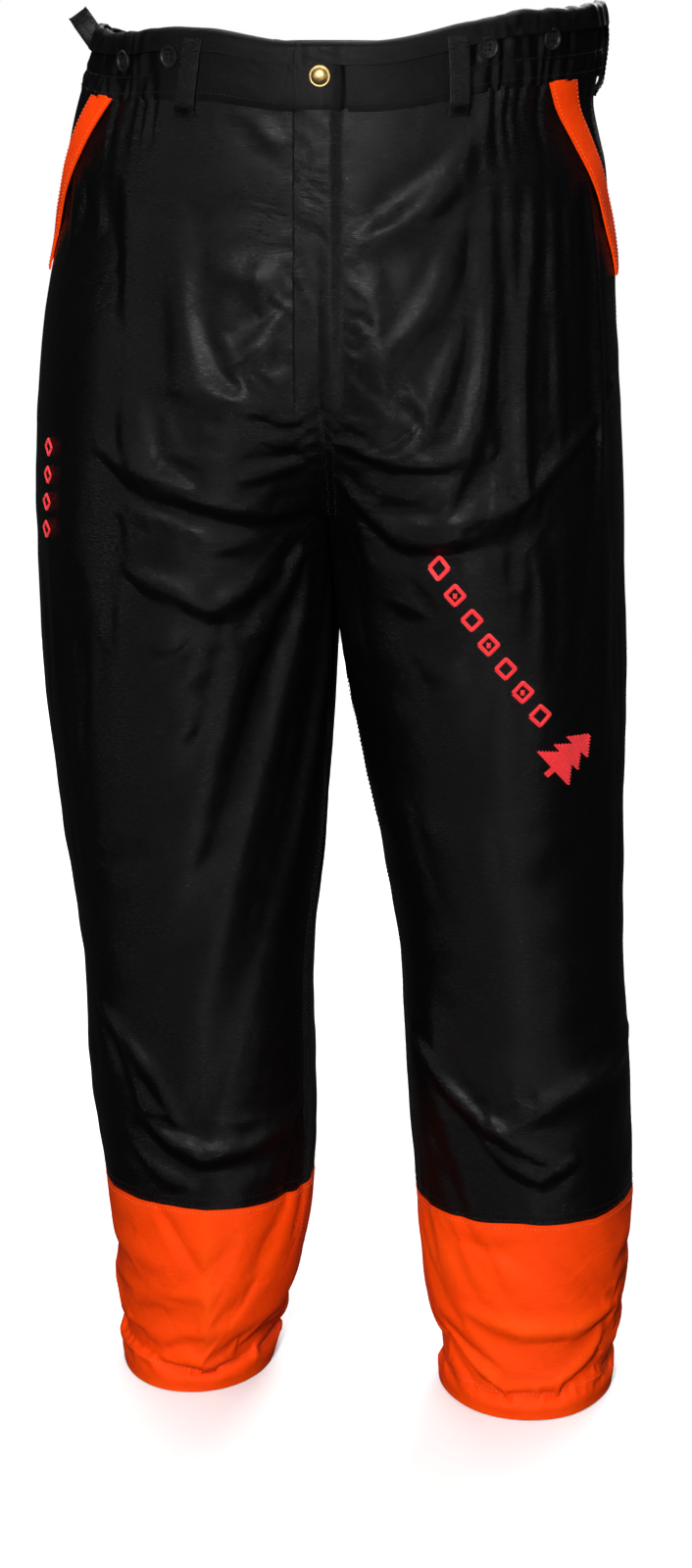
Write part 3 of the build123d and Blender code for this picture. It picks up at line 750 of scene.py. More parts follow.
def hard_material(name, colour, worn, metallic, roughness, scale, depth, specular=0.5):
    """Metal or plastic with handling marks: colour, gloss and fine dents vary over it."""
    material = bpy.data.materials.new(name)
    tree, shader, add = nodes_of(material)
    coordinates = add("TexCoord").outputs["Object"]
    patches = add("TexNoise", Scale=scale, Detail=6.0, Roughness=0.65)
    scratches = add("TexNoise", Scale=scale * 6, Detail=3.0, Distortion=2.0)
    for texture in (patches, scratches):
        tree.links.new(coordinates, texture.inputs["Vector"])
    varied = mix_colour(add, tree, ramp(add, tree, patches.outputs[0], 0.35, 0.7), colour, worn)
    tree.links.new(varied, shader.inputs["Base Color"])
    dullness = ramp(add, tree, scratches.outputs[0], 0.3, 0.7, roughness - 0.08, roughness + 0.12)
    tree.links.new(dullness, shader.inputs["Roughness"])
    bump = add("Bump", Strength=0.5, Distance=depth)
    tree.links.new(scratches.outputs[0], bump.inputs["Height"])
    tree.links.new(bump.outputs[0], shader.inputs["Normal"])
    shader.inputs["Metallic"].default_value = metallic
    shader.inputs["Specular IOR Level"].default_value = specular
    return material


BLACK, WORN_BLACK = (0.0010, 0.0010, 0.0012), (0.0030, 0.0030, 0.0034)
# Each look's material: its name, colour and faded colour, then its roughness, specular, sheen,
# thread pitch, depth of the streaks, depth of the creases and the slant of a twill in degrees.
CLOTHS = {
    "face": ("face_cloth", BLACK, WORN_BLACK, 0.30, 0.135, 0.0, 0.0007, 0.000016, 0.0012),
    "band": ("band_cloth", BLACK, WORN_BLACK, 0.38, 0.09, 0.0, 0.0007, 0.000016, 0.0012),
    "band_back": ("band_back_cloth", BLACK, WORN_BLACK, 0.62, 0.06, 0.0, 0.0007, 0.000016, 0.0012),
    "back": ("back_cloth", (0.0036, 0.0036, 0.0040), (0.008, 0.008, 0.0085),
             0.72, 0.15, 0.0, 0.0011, 0.0001, 0.0016, 32),
    "orange": ("orange_cloth", (1.0, 0.052, 0.0004), (1.0, 0.085, 0.002),
               0.50, 0.10, 0.0, 0.0008, 0.0002, 0.0012),
    "pad": ("pad_fibre", (0.62, 0.60, 0.52), (0.70, 0.68, 0.62), 0.8, 0.3, 0.2, 0.0018, 0.0002, 0.002),
    "lining": ("lining_cloth", (0.035, 0.036, 0.040), (0.06, 0.06, 0.065),
               0.6, 0.3, 0.05, 0.0006, 0.0001, 0.002),
    "elastic": ("elastic_webbing", (0.02, 0.02, 0.02), (0.05, 0.05, 0.05),
                0.75, 0.3, 0.1, 0.0016, 0.0001, 0.0002),
    "zip_tape": ("zip_tape", (0.012, 0.012, 0.013), (0.03, 0.03, 0.03),
                 0.8, 0.25, 0.1, 0.0012, 0.0001, 0.0002, 45),
}
# and of a thread: its name, colour, paler colour and specular
THREADS = {
    "thread_red": ("red_embroidery", (0.80, 0.008, 0.014), (0.95, 0.03, 0.04)),
    "thread_black": ("black_thread", (0.0022, 0.0022, 0.0024), (0.006, 0.006, 0.006), 0.15),
    "thread_orange": ("orange_thread", (0.75, 0.07, 0.005), (0.9, 0.14, 0.02)),
}
LOOKS = {look: cloth_material(*values) for look, values in CLOTHS.items()}
LOOKS.update({look: thread_material(*values) for look, values in THREADS.items()})
LOOKS["brass"] = hard_material("aged_brass", (0.40, 0.27, 0.10), (0.20, 0.14, 0.07), 1.0, 0.34, 420, 0.00015)
LOOKS["button"] = hard_material(
    "black_button", (0.003, 0.003, 0.003), (0.01, 0.01, 0.01), 0.0, 0.42, 300, 0.0001, 0.2)


def finish_piece(piece, look, body=None, replaces=(), held=None, joint=None):
    """Material and slot, what the piece rides on (a piece with a joint only has its placement baked in) and which
    CAD nodes it stands for; held only looks up the piece's cut size, which is not kept.
    """
    piece.data.materials.append(LOOKS[look])
    if joint:
        follow(piece)
    else:
        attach(piece, body)
    if replaces:
        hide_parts(*replaces)
    if held:
        width, length, area = flat_sizes[piece.name]
        width, length = (math.ceil(size * 1000) / 1000 for size in (width, length))
    return piece


# ------------------------------------------------------------------ leg panels
FRONT_COLUMNS = np.concatenate(
    [np.arange(FINE * INSIDE_SEAM, FINE * COLUMNS), np.arange(FINE * SIDE_SEAM + 1)])
BACK_COLUMNS = np.arange(FINE * SIDE_SEAM, FINE * INSIDE_SEAM + 1)
STRETCHES = {
    "upper": (0, FINE * SPLIT_ROW, "hip"),
    "lower": (FINE * SPLIT_ROW, FINE * CUFF_ROW, "knee"),
    "cuff": (FINE * CUFF_ROW, FINE * LAST_ROW, None),
}
STANDS_FOR = {
    ("front", "upper"): ("seat_front_", "hip_fold_", "thigh_front_"),
    ("front", "lower"): ("knee_fold_", "shin_front_"),
    ("front", "cuff"): ("cuff_front_",),
    ("back", "upper"): ("seat_back_", "thigh_back_"),
    ("back", "lower"): ("shin_back_",),
    ("back", "cuff"): ("cuff_back_",),
}
HEM = 0.025                 # depth of the turned-up hem


def leg_panel(side_name, facing, stretch):
    side = sides[side_name]
    top, bottom, joint = STRETCHES[stretch]
    columns = FRONT_COLUMNS if facing == "front" else BACK_COLUMNS
    rows = slice(top, bottom + 1)
    points, normals = side.points[rows][:, columns], side.normals[rows][:, columns]
    uvs = side.uvs[rows][:, columns].copy()
    if facing == "front":
        inner = FINE * (COLUMNS - INSIDE_SEAM)
        whole = side.uvs[rows, -1, 0] - side.uvs[rows, 0, 0]
        uvs[:, :inner, 0] -= whole[:, None]
    face_row = np.arange(top, bottom)[:, None]
    face_column = columns[:-1][None, :]
    mask = (face_column < FINE * OUTER_COLUMNS) | (face_row >= FINE * FORK_ROW)
    if facing == "front":
        mask &= ~((face_column < FINE * FLY_COLUMNS) & (face_row < FINE * FLY_ROW))
    drops = side.rows[rows][:, None] + 0 * uvs[..., 0]
    thickness = np.full(drops.shape, CLOTH)
    if stretch == "cuff":
        hem = smooth((drops - (OUTSEAM - HEM)) / 0.002)
        thickness += 0.0012 * hem
        points = points + normals * (0.0006 * hem + 0.0006)[..., None]
    wear = side.wear[rows][:, columns] + 0.8 * smooth((drops - (OUTSEAM - 0.012)) / 0.012)
    name = "_".join([facing, stretch, side_name])
    piece = cloth_sheet(name, points, normals, thickness, uvs, mask, wear)
    look = "orange" if stretch == "cuff" else "face" if facing == "front" else "back"
    stands_for = [n + side_name for n in STANDS_FOR[facing, stretch]]
    finish_piece(piece, look, "shin_" + side_name, stands_for, "hung", joint)


for side_name in SIGN:
    for facing in ("front", "back"):
        for stretch in STRETCHES:
            leg_panel(side_name, facing, stretch)


# ------------------------------------------------------------------ pads and lining inside the legs
PAD_DROPS = (0.300, 0.985)
LINING_DROPS = (0.300, 1.020)
PAD_OUTSIDE, PAD_INSIDE = 0.0072, 0.0114
QUILT = 0.055               # spacing of the pad's stitched channels
LINING_INSET, LINING_CLOTH = 0.0124, 0.0005


def inside_grid(side_name, top, bottom, first, last, inset, rows, columns):
    """A grid inset from the smooth surface between two angles, with its outward normals."""
    drops = np.linspace(top, bottom, rows)[:, None]
    share = np.linspace(0, 1, columns)[None, :]
    first, last = (np.broadcast_to(a, (rows,))[:, None] for a in (first(drops[:, 0]), last(drops[:, 0])))
    angles = first + (last - first) * share
    drops = drops + 0 * angles
    points, normals = base_point(side_name, angles, drops), smooth_normals(side_name, angles, drops)
    points = points - normals * inset
    points[..., 0] = SIGN[side_name] * np.maximum(SIGN[side_name] * points[..., 0], inset + 0.001)
    return points, normals, drops


def seam_angle(side_name):
    return lambda drops: np.interp(drops, ROWS, sides[side_name].angles[:, SIDE_SEAM])


def inside_seam_angle(side_name):
    return lambda drops: np.where(
        drops < FORK_DROP + 0.004,
        -middle_angle(side_name, drops),
        np.interp(drops, ROWS, sides[side_name].angles[:, INSIDE_SEAM]) - 2 * math.pi,
    )


def pad_piece(side_name, part, top, bottom, joint):
    """One stretch of the cut-protection pad, thinner along its quilting."""
    first, last = inside_seam_angle(side_name), seam_angle(side_name)
    points, normals, drops = inside_grid(side_name, top, bottom, first, last, PAD_OUTSIDE, 90, 110)
    uvs = grid_uvs(points)
    slants = [np.sin(math.pi * (uvs[..., 0] + way * drops) / QUILT) for way in (1, -1)]
    full = np.abs(slants[0] * slants[1]) ** 0.35
    points = points - normals * (0.0016 * (1 - full))[..., None]
    thickness = (PAD_INSIDE - PAD_OUTSIDE) * (0.35 + 0.65 * full)
    pad = cloth_sheet("_".join(["pad", part, side_name]), points, normals, thickness, uvs)
    stands_for = ["protective_pad_" + side_name] if part == "upper" else ()
    finish_piece(pad, "pad", None, stands_for, None, joint)


def lining_piece(side_name, part, top, bottom, joint):
    """One stretch of the leg lining, open on the middle side above the fork."""
    around = seam_angle(side_name)
    points, normals, drops = inside_grid(
        side_name, top, bottom, lambda d: around(d) - 2 * math.pi, around, LINING_INSET, 70, 150)
    ripple = 0.0008 * noise_field(points, 0.05, 5.5) + 0.0008
    points = points - normals * ripple[..., None]
    opened = drops[:-1, :-1] < FORK_DROP
    mask = ~(opened & (np.abs(points[:-1, :-1, 0]) < 0.0150))
    lining = cloth_sheet("_".join(["lining", part, side_name]), points, normals, LINING_CLOTH, mask=mask)
    stands_for = ["leg_lining_" + side_name] if part == "upper" else ()
    finish_piece(lining, "lining", None, stands_for, "hung", joint)


for side_name in SIGN:
    for make, (top, bottom) in ((pad_piece, PAD_DROPS), (lining_piece, LINING_DROPS)):
        make(side_name, "upper", top, SPLIT_DROP, "hip")
        make(side_name, "lower", SPLIT_DROP, bottom, "knee")


# ------------------------------------------------------------------ waistband
def ring(columns, drops):
    """Surface points for rows of drops and columns of (side, angle), with outward normals."""
    points = np.empty((len(drops), len(columns), 3))
    for name in SIGN:
        here = np.array([side == name for side, _ in columns])
        if here.any():
            angles = np.array([angle for side, angle in columns])[here]
            grid = np.broadcast_arrays(angles[None, :], np.asarray(drops)[:, None])
            points[:, here] = base_point(name, *grid)
    return points, grid_normals(points, points * [1, 1, 0])


def band_columns(*stretches):
    """Columns of (side, angle) along one or more stretches of (side, first angle, last angle)."""
    out = []
    for side, first, last in stretches:
        steps = max(6, int(abs(last - first) * 0.17 / 0.0012))
        out += [(side, a) for a in np.linspace(first, last, steps)]
    return out


BAND_OUT = 0.0016           # the band's face and its turned-in edge, out from the surface of the legs
BAND_IN = -0.0044
FACE_ROWS = 22              # rows of the band's section on its face
WAIST_HALF = 0.185          # turns a distance across the middle front into an angle
LOOSE_EDGE = 0.0185         # the overlap's loose edge, towards the wearer's right
BAND_CLOTH = 0.0012


def band_face(drop):
    """How far out the band's face lies, a little less along its two seams."""
    return BAND_OUT - 0.0010 * ((drop - 0.022) / 0.023) ** 6


def band_profile():
    """The band's section: up the face from the seam, over the rolled top and down inside it.

    It is a list of (drop, distance out from the surface of the legs)."""
    up = [(d, band_face(d)) for d in np.linspace(BAND_DROP + 0.002, 0.003, FACE_ROWS)]
    middle, radius = (BAND_OUT + BAND_IN) / 2, (BAND_OUT - 0.0006 - BAND_IN) / 2
    turn = np.linspace(0.15, math.pi, 9)
    over = [(0.003 - 0.0032 * math.sin(a), middle + radius * math.cos(a)) for a in turn]
    down = [(d, BAND_IN) for d in np.linspace(0.005, 0.014, 5)]
    return np.array(up + over + down)


ELASTIC_ROWS = (0.013, 0.029)       # drops of the stitching that holds the elastic
EDGE_ROWS = (0.0045, 0.0400)        # and of the stitching along the band's top and bottom


def gathers(points, drops, strength):
    """Irregular upright pleats of a band drawn in by elastic, pinched by its rows of stitching."""
    along = np.arctan2(points[..., 1], points[..., 0]) * 0.17
    field = np.empty(along.shape)
    for i in np.ndindex(along.shape):
        s = along[i] / 0.0065
        uneven = s + 0.6 * noise.noise(Vector((s * 0.3, 7, 0)))
        field[i] = noise.noise(Vector((uneven, drops[i[0]] / 0.020, 1.5)))
    channel = 1 - 0.6 * sum(np.exp(-((drops - d) / 0.0022) ** 2) for d in ELASTIC_ROWS)
    return 0.0028 * strength * field * channel[:, None] - 0.0006 * strength * (1 - channel)[:, None]


def hinge_groove(away):
    """How deep the band is pressed in at the fly's hinge line, by the distance from it."""
    return BAND_OUT * (1 - smooth(away / 0.0014))


def gathered_from(start):
    """How strongly the band is gathered at points, which begins at x = start."""
    return lambda points: smooth((np.abs(points[..., 0]) - start) / 0.016)


def band_piece(which, name, columns, strength):
    profile = band_profile()
    points, normals = ring(columns, profile[:, 0])
    level_normals = unit(normals * [1, 1, 0])
    on_face = (np.arange(len(profile)) < FACE_ROWS) * 1.0
    lift = profile[:, 1][:, None]
    lift = lift + gathers(points, profile[:, 0], strength(points)) * np.maximum(on_face, 0.5)[:, None]
    if which == "left":
        lift = lift - hinge_groove(points[..., 0] - FLY_HALF) * (profile[:, 1] > 0)[:, None]
    points = points + level_normals * lift[..., None]
    near_top = (1 - smooth((profile[:, 0] - 0.002) / 0.012))[:, None]
    uneven = noise_field(points * [1, 1, 0.2], 0.012, 2.2)
    points[..., 2] += 0.0022 * strength(points) * near_top * uneven
    shading = grid_normals(points, level_normals * on_face[:, None, None])
    piece = cloth_sheet(name, points, unit(shading), BAND_CLOTH)
    look = "band_back" if which == "back" else "band"
    finish_piece(piece, look, "seat", ["waistband_" + which], "gathered")


MIDDLE_ANGLE = {name: float(middle_angle(name, 0.0)) for name in SIGN}      # of the middle back
FLY_STEP = FLY_HALF / WAIST_HALF
BACK_FROM = 0.10                # angle of the joins between the front and back bands
RIGHT_FLY, LEFT_FLY = (FLY_STEP - MIDDLE_ANGLE[name] for name in ("right", "left"))
LEFT_MIDDLE_BACK = MIDDLE_ANGLE["left"] - 0.01
BAND_STRETCHES = {
    "right": ("waistband_right_cloth", [("right", RIGHT_FLY, BACK_FROM)], gathered_from(0.108)),
    "left": ("waistband_left_cloth", [("left", LEFT_FLY, BACK_FROM)], gathered_from(0.088)),
    "back": (
        "waistband_back_cloth",
        [("right", BACK_FROM, MIDDLE_ANGLE["right"]), ("left", LEFT_MIDDLE_BACK, BACK_FROM)],
        gathered_from(0.04),
    ),
}
for which, (name, stretches, strength) in BAND_STRETCHES.items():
    band_piece(which, name, band_columns(*stretches), strength)


def overlap_lift(points):
    """How far the fly's loose edge lies over the other front; its hinge edge is pressed in."""
    ahead = FLY_HALF - points[..., 0]
    return 0.0014 * smooth(ahead / 0.010) + 0.0009 * smooth((ahead - 0.022) / 0.010) - hinge_groove(ahead)


def overlap_piece():
    """The band's overlap on the fly flap, from its loose edge to its hinge edge."""
    right, left = MIDDLE_ANGLE["right"], MIDDLE_ANGLE["left"]
    columns = band_columns(("right", -right + LOOSE_EDGE / WAIST_HALF, -right),
                           ("left", -left + 0.0005, -left + FLY_STEP))
    profile = band_profile()
    points, normals = ring(columns, profile[:, 0])
    normals = unit(normals * [1, 1, 0])
    lift = overlap_lift(points)
    lift = np.where((profile[:, 1] > 0)[:, None], lift, np.maximum(lift, 0))
    points = points + normals * (profile[:, 1][:, None] + lift)[..., None]
    on_face = (np.arange(len(profile)) < FACE_ROWS)[:, None, None]
    shading = grid_normals(points, normals * on_face)
    overlap = cloth_sheet("waistband_overlap_cloth", points, shading, BAND_CLOTH)
    finish_piece(overlap, "band", "fly_flap", ["waistband_overlap"], "folded")


overlap_piece()

LINING_STRETCHES = [("right", RIGHT_FLY, MIDDLE_ANGLE["right"]), ("left", LEFT_MIDDLE_BACK, LEFT_FLY)]
for name, stretches, inset, drops, look, stands_for in (
    ("waistband_lining_cloth", LINING_STRETCHES, 0.0034, (0.011, 0.0430), "lining", "waistband_lining"),
    ("waist_elastic_right_web", [("right", -1.0, 1.0)], 0.0016, (0.006, 0.038),
     "elastic", "waist_elastic_right"),
    ("waist_elastic_left_web", [("left", -1.0, 1.0)], 0.0016, (0.006, 0.038),
     "elastic", "waist_elastic_left"),
):
    points, normals = ring(band_columns(*stretches), np.linspace(*drops, 14))
    ribs = 0.0003 * np.sin(np.linspace(0, 14 * math.pi, 14))[:, None, None] if look == "elastic" else 0.0
    points = points - normals * (inset + ribs)
    finish_piece(cloth_sheet(name, points, normals, 0.0009), look, "seat", [stands_for], "gathered")


# ------------------------------------------------------------------ the fly
FLY_TOP_Y = -0.1312
FLY_TILT = math.radians(1.8)
FORWARD = np.array([0, -1.0, 0])


def fly_point(x, y, z):
    """A point in the fly's own frame: y is into the body, z is up from the waist edge."""
    tilted_y = FLY_TOP_Y + y * math.cos(FLY_TILT) + z * math.sin(FLY_TILT)
    tilted_z = z * math.cos(FLY_TILT) - y * math.sin(FLY_TILT)
    return np.stack(np.broadcast_arrays(x, tilted_y, tilted_z), axis=-1)


def fly_front(x, drop, lift=0.0):
    """Points on the smooth front of the garment across the middle."""
    x, drop = np.broadcast_arrays(np.asarray(x, float), np.asarray(drop, float))
    out = np.empty(x.shape + (3,))
    for name, sign in SIGN.items():
        here = x * sign >= 0
        ahead = np.abs(x[here])
        out[here] = base_point(name, angle_of_x(name, ahead, drop[here], -1), drop[here])
    out[..., 1] -= lift
    return out


def flap_lift(x):
    """How far the fly flap lies in front of the panels: nearly nothing at its hinge."""
    rolled = np.sqrt(np.clip(1 - np.clip((-0.0169 - x) / 0.0016, 0, 1) ** 2, 0, 1))
    return 0.0002 + 0.0024 * smooth((FLY_HALF - x) / 0.011) * rolled


def fly_flap():
    columns = np.concatenate([np.linspace(-LOOSE_EDGE, -0.0165, 9), np.linspace(-0.0153, 0.0163, 22)])
    x, drop = np.meshgrid(columns, np.linspace(BAND_DROP + 0.001, FLY_DROP + 0.003, 120))
    puff = 0.0004 * np.sin((x - columns[0]) / (columns[-1] - columns[0]) * math.pi)
    near_hinge = smooth(np.abs(x - 0.0163) / 0.008)
    uneven = noise_field(np.stack([x * 2, drop, 0 * x], -1), 0.012, 6.1)
    pucker = 0.0004 * uneven * (1 - near_hinge * 0.3)
    points = fly_front(x, drop, flap_lift(x) + puff + pucker)
    wear = 0.5 * smooth((-0.015 - x) / 0.003)
    flap = cloth_sheet("fly_flap_cloth", points, grid_normals(points, FORWARD), 0.0013, wear=wear)
    finish_piece(flap, "face", "fly_flap", ["fly_flap"], "hung")


fly_flap()

ZIP_Z = (-0.047, -0.237)
for name, look, x_range, depth, z_range, stands_for in (
    ("waistband_underlap_cloth", "band", (-0.0163, 0.014), 0.0046, (-0.0006, -0.0426), "waistband_underlap"),
    ("fly_underlap_cloth", "face", (-0.0175, 0.014), 0.0124, (-0.044, -0.240), "fly_underlap"),
    ("fly_facing_cloth", "face", (FLY_HALF, 0.019), 0.0070, (-0.044, -0.240), "fly_facing"),
):
    x, z = np.meshgrid(np.linspace(*x_range, 14), np.linspace(*z_range, 60))
    depth = depth + 0.0004 * np.sin(x * 300) * np.sin(z * 55)
    points = fly_point(x, depth, z)
    piece = cloth_sheet(name, points, grid_normals(points, FORWARD), 0.0012)
    finish_piece(piece, look, "seat", [stands_for], "stretched" if x_range[1] - x_range[0] > 0.01 else None)
for sign in (-1, 1):
    x, z = np.meshgrid(np.linspace(0.0032, 0.0164, 10) * sign, np.linspace(*ZIP_Z, 120))
    cord_edge = 0.0006 * np.exp(-((np.abs(x) - 0.0038) / 0.0008) ** 2)
    points = fly_point(x, 0.0087 - cord_edge, z)
    name = "zip_tape_" + ("right" if sign < 0 else "left")
    piece = cloth_sheet(name, points, grid_normals(points, FORWARD), 0.0006)
    finish_piece(piece, "zip_tape", "seat", ["zip_tapes"], "stretched")

for name in ("zip_teeth", "zip_stops", "zip_slider", "zip_pull", "stud_socket", "stud_post", "stud_back_plate"):
    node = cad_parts[name]
    node.data.materials.clear()
    node.data.materials.append(LOOKS["brass"])


def lathe(name, outline, centre, axis, steps=64):
    """A turned piece from an outline of (radius, height); a radius of zero closes it."""
    out = Vector(axis).normalized()
    side = out.orthogonal().normalized()
    other = out.cross(side)
    verts, rings = [], []
    for radius, height in outline:
        if radius < 1e-7:
            verts.append(Vector(centre) + out * height)
            rings.append([len(verts) - 1])
            continue
        ring_ids = []
        for step in range(steps):
            a = 2 * math.pi * step / steps
            verts.append(Vector(centre) + (side * math.cos(a) + other * math.sin(a)) * radius + out * height)
            ring_ids.append(len(verts) - 1)
        rings.append(ring_ids)
    faces = []
    for low, high in zip(rings, rings[1:]):
        for k in range(steps):
            a, b = low[k % len(low)], low[(k + 1) % len(low)]
            c, d = high[(k + 1) % len(high)], high[k % len(high)]
            faces.append(list(dict.fromkeys([a, b, c, d])))
    return mesh_piece(name, verts, faces)


STUD_DROP = 0.0215
DOME = [
    (0, -0.0008), (0.0070, -0.0008), (0.0075, -0.0004), (0.0075, 0.0004), (0.0071, 0.0009), (0.0064, 0.0010),
    (0.0061, 0.0008), (0.0057, 0.0010), (0.0048, 0.0016), (0.0034, 0.0021), (0.0018, 0.0024), (0, 0.0025),
]
stud_place = fly_front(0.0, STUD_DROP, BAND_OUT + 0.0014 + 0.0006)
stud = lathe("stud_cap_dome", DOME, stud_place, (0, -math.cos(FLY_TILT), -math.sin(FLY_TILT)))
finish_piece(stud, "brass", "fly_flap", ["stud_cap"])


# ------------------------------------------------------------------ sewing thread
STITCH, STITCH_GAP, STITCH_RADIUS = 0.0024, 0.0010, 0.00042
threads = {}                # (look, body or joint, side) to lists of corners and faces


def sew(line, normals, look, place, side=None):
    """A row of stitches along a line of points; place is a body, or a joint with its side."""
    step = np.linalg.norm(np.diff(line, axis=0), axis=1)
    travel = np.concatenate([[0], np.cumsum(step)])
    starts = np.arange(0.001, travel[-1] - STITCH, STITCH + STITCH_GAP)
    if not len(starts):
        return
    verts, faces = threads.setdefault((look, place, side), ([], []))
    for start in starts:
        a, m, b = (np.array([np.interp(t, travel, line[:, k]) for k in range(3)])
                   for t in (start, start + STITCH / 2, start + STITCH))
        out = np.array([np.interp(start, travel, normals[:, k]) for k in range(3)])
        across = np.cross(b - a, out)
        across /= max(np.linalg.norm(across), 1e-12)
        first = len(verts)
        verts += [a] + [m + way * STITCH_RADIUS for way in (across, out, -across, -out)] + [b]
        for k in range(4):
            p, q = first + 1 + k, first + 1 + (k + 1) % 4
            faces += [(first, q, p), (first + 5, p, q)]


def runs_of(inside):
    """First and last-but-one index of each unbroken run of true values."""
    ends = np.flatnonzero(np.diff(np.concatenate([[0], inside.astype(int), [0]])))
    return list(zip(ends[::2], ends[1::2]))


def sew_on_side(side_name, column, drop, look, lift=0.0005):
    """Stitches over a side's surface, shared out to the stretches of the leg that they cross."""
    column, drop = np.broadcast_arrays(np.asarray(column, float), np.asarray(drop, float))
    points, normals = sides[side_name].at(column, drop, lift)
    for low, high, place, bends in (
        (0, FORK_DROP, "seat", False), (FORK_DROP, SPLIT_DROP, "hip", True),
        (SPLIT_DROP, CUFF_DROP, "knee", True), (CUFF_DROP, OUTSEAM, "shin_" + side_name, False),
    ):
        thread = "thread_orange" if low == CUFF_DROP else look
        for a, b in runs_of((drop >= low - 1e-6) & (drop <= high + 1e-6)):
            if b - a > 1:
                sew(points[a:b], normals[a:b], thread, place, side_name if bends else None)


def offset_columns(side_name, column, drops, distance):
    """Fine columns at a distance to one side of a column, at each drop."""
    side = sides[side_name]
    out = []
    for d in drops:
        line = side.uvs[round(side.row_at(d)), :, 0]
        base = np.interp(column, np.arange(len(line)), line)
        out.append(np.interp(base + distance, line, np.arange(len(line))))
    return np.array(out)


def sew_leg(side_name):
    """Double rows along the side, inside, middle front and middle back seams, the cuff and the hem."""
    side = sides[side_name]
    down = np.arange(BAND_DROP + 0.003, OUTSEAM - 0.002, 0.004)
    down = np.sort(np.concatenate([down, [SPLIT_DROP, FORK_DROP, CUFF_DROP]]))
    legs = down[down > FORK_DROP + 0.001]
    for seam, drops, way in ((SIDE_SEAM, down, 1), (INSIDE_SEAM, legs, -1)):
        for distance in (0.0022, 0.0078):
            columns = offset_columns(side_name, FINE * seam, drops, way * distance)
            sew_on_side(side_name, columns, drops, "thread_black")
    front = down[(down > FLY_DROP + 0.004) & (down < FORK_DROP)]
    back = down[down < FORK_DROP]
    rows = [(0.002, front, -1), (0.0075, front, -1)] if side_name == "left" else []
    rows += [(distance, back, 1) for distance in ((0.0025, 0.0085) if side_name == "left" else (0.0025,))]
    for distance, drops, facing in rows:
        columns = side.column_at_x(distance + 0 * drops, drops, facing)
        sew_on_side(side_name, columns, drops, "thread_black")
    around = np.arange(0, FINE * COLUMNS + 0.5, 1.0)
    for drop, look, lift in (
        (CUFF_DROP - 0.0025, "thread_black", 0.0005), (CUFF_DROP - 0.0085, "thread_black", 0.0005),
        (CUFF_DROP + 0.0035, "thread_orange", 0.0012), (OUTSEAM - HEM + 0.003, "thread_orange", 0.0012),
    ):
        sew_on_side(side_name, around, drop + 0 * around, look, lift)


def sew_fly():
    """Two rows along the fly's stitched edge, with its curve in to the middle at the foot."""
    foot = FLY_DROP - 0.028
    for inset in (0.0, 0.0055):
        run = [(0.0138 - inset, drop) for drop in np.arange(BAND_DROP + 0.004, foot, 0.003)]
        for a in np.linspace(0, math.pi / 2, 16):
            run.append((-0.009 + (0.0228 - inset) * math.cos(a), foot + (0.026 - inset) * math.sin(a)))
        run = np.array(run)
        line = fly_front(run[:, 0], run[:, 1], flap_lift(run[:, 0]) + 0.0007)
        sew(line, np.tile(FORWARD, (len(line), 1)), "thread_black", "fly_flap")


def sew_band(columns, strength):
    """The band's top and bottom rows, and the rows that hold the elastic where it is gathered."""
    for drop in EDGE_ROWS + ELASTIC_ROWS:
        drops = np.array([drop, drop + 0.002])
        points, normals = ring(columns, drops)
        level_normals = unit(normals * [1, 1, 0])
        held = strength(points)
        bump = gathers(points, drops, held)
        keep = np.ones(len(columns), bool) if drop in EDGE_ROWS else held[0] > 0.5
        line = (points + level_normals * (band_face(drop) + 0.0003 + bump)[..., None])[0]
        for a, b in runs_of(keep):
            if b - a > 3:
                sew(line[a:b], level_normals[0][a:b], "thread_black", "seat")


for side_name in SIGN:
    sew_leg(side_name)
sew_fly()
for name, stretches, strength in BAND_STRETCHES.values():
    sew_band(band_columns(*stretches), strength)


# ------------------------------------------------------------------ slanted pockets
def window(values, axis, reach, how):
    """A running maximum or mean of a grid along one of its axes."""
    index = np.arange(values.shape[axis])
    near = (np.clip(index + step, 0, index[-1]) for step in range(-reach, reach + 1))
    return how([np.take(values, chosen, axis=axis) for chosen in near], axis=0)


def mouth_strip(side_name, across, rows):
    """A grid along a pocket's mouth line, at distances across it towards the side seam."""
    top, foot = np.array(MOUTH_TOP), np.array(MOUTH_FOOT)
    toward = unit(foot - top)
    length = np.linalg.norm(foot - top)
    along = np.linspace(0.001, length, rows)[:, None]
    across = np.asarray(across)[None, :]
    y = top[0] + toward[0] * along - toward[1] * across
    drop = -(top[1] + toward[1] * along + toward[0] * across)
    drop = np.maximum(drop, BAND_DROP + 0.0005)
    _, _, centre_y, depth = level(side_name, drop)
    angle = np.arcsin(np.clip((y - centre_y) / depth, -1, 1))
    normals = smooth_normals(side_name, angle, drop)
    form = base_point(side_name, angle, drop)
    side = sides[side_name]
    creased = ((side.at(side.column_at(angle, drop), drop)[0] - form) * normals).sum(-1)
    for reach_down, reach_across, how in ((5, 2, np.max), (8, 3, np.mean)):
        creased = window(window(creased, 0, reach_down, how), 1, reach_across, how)
    return form + normals * creased[..., None], normals


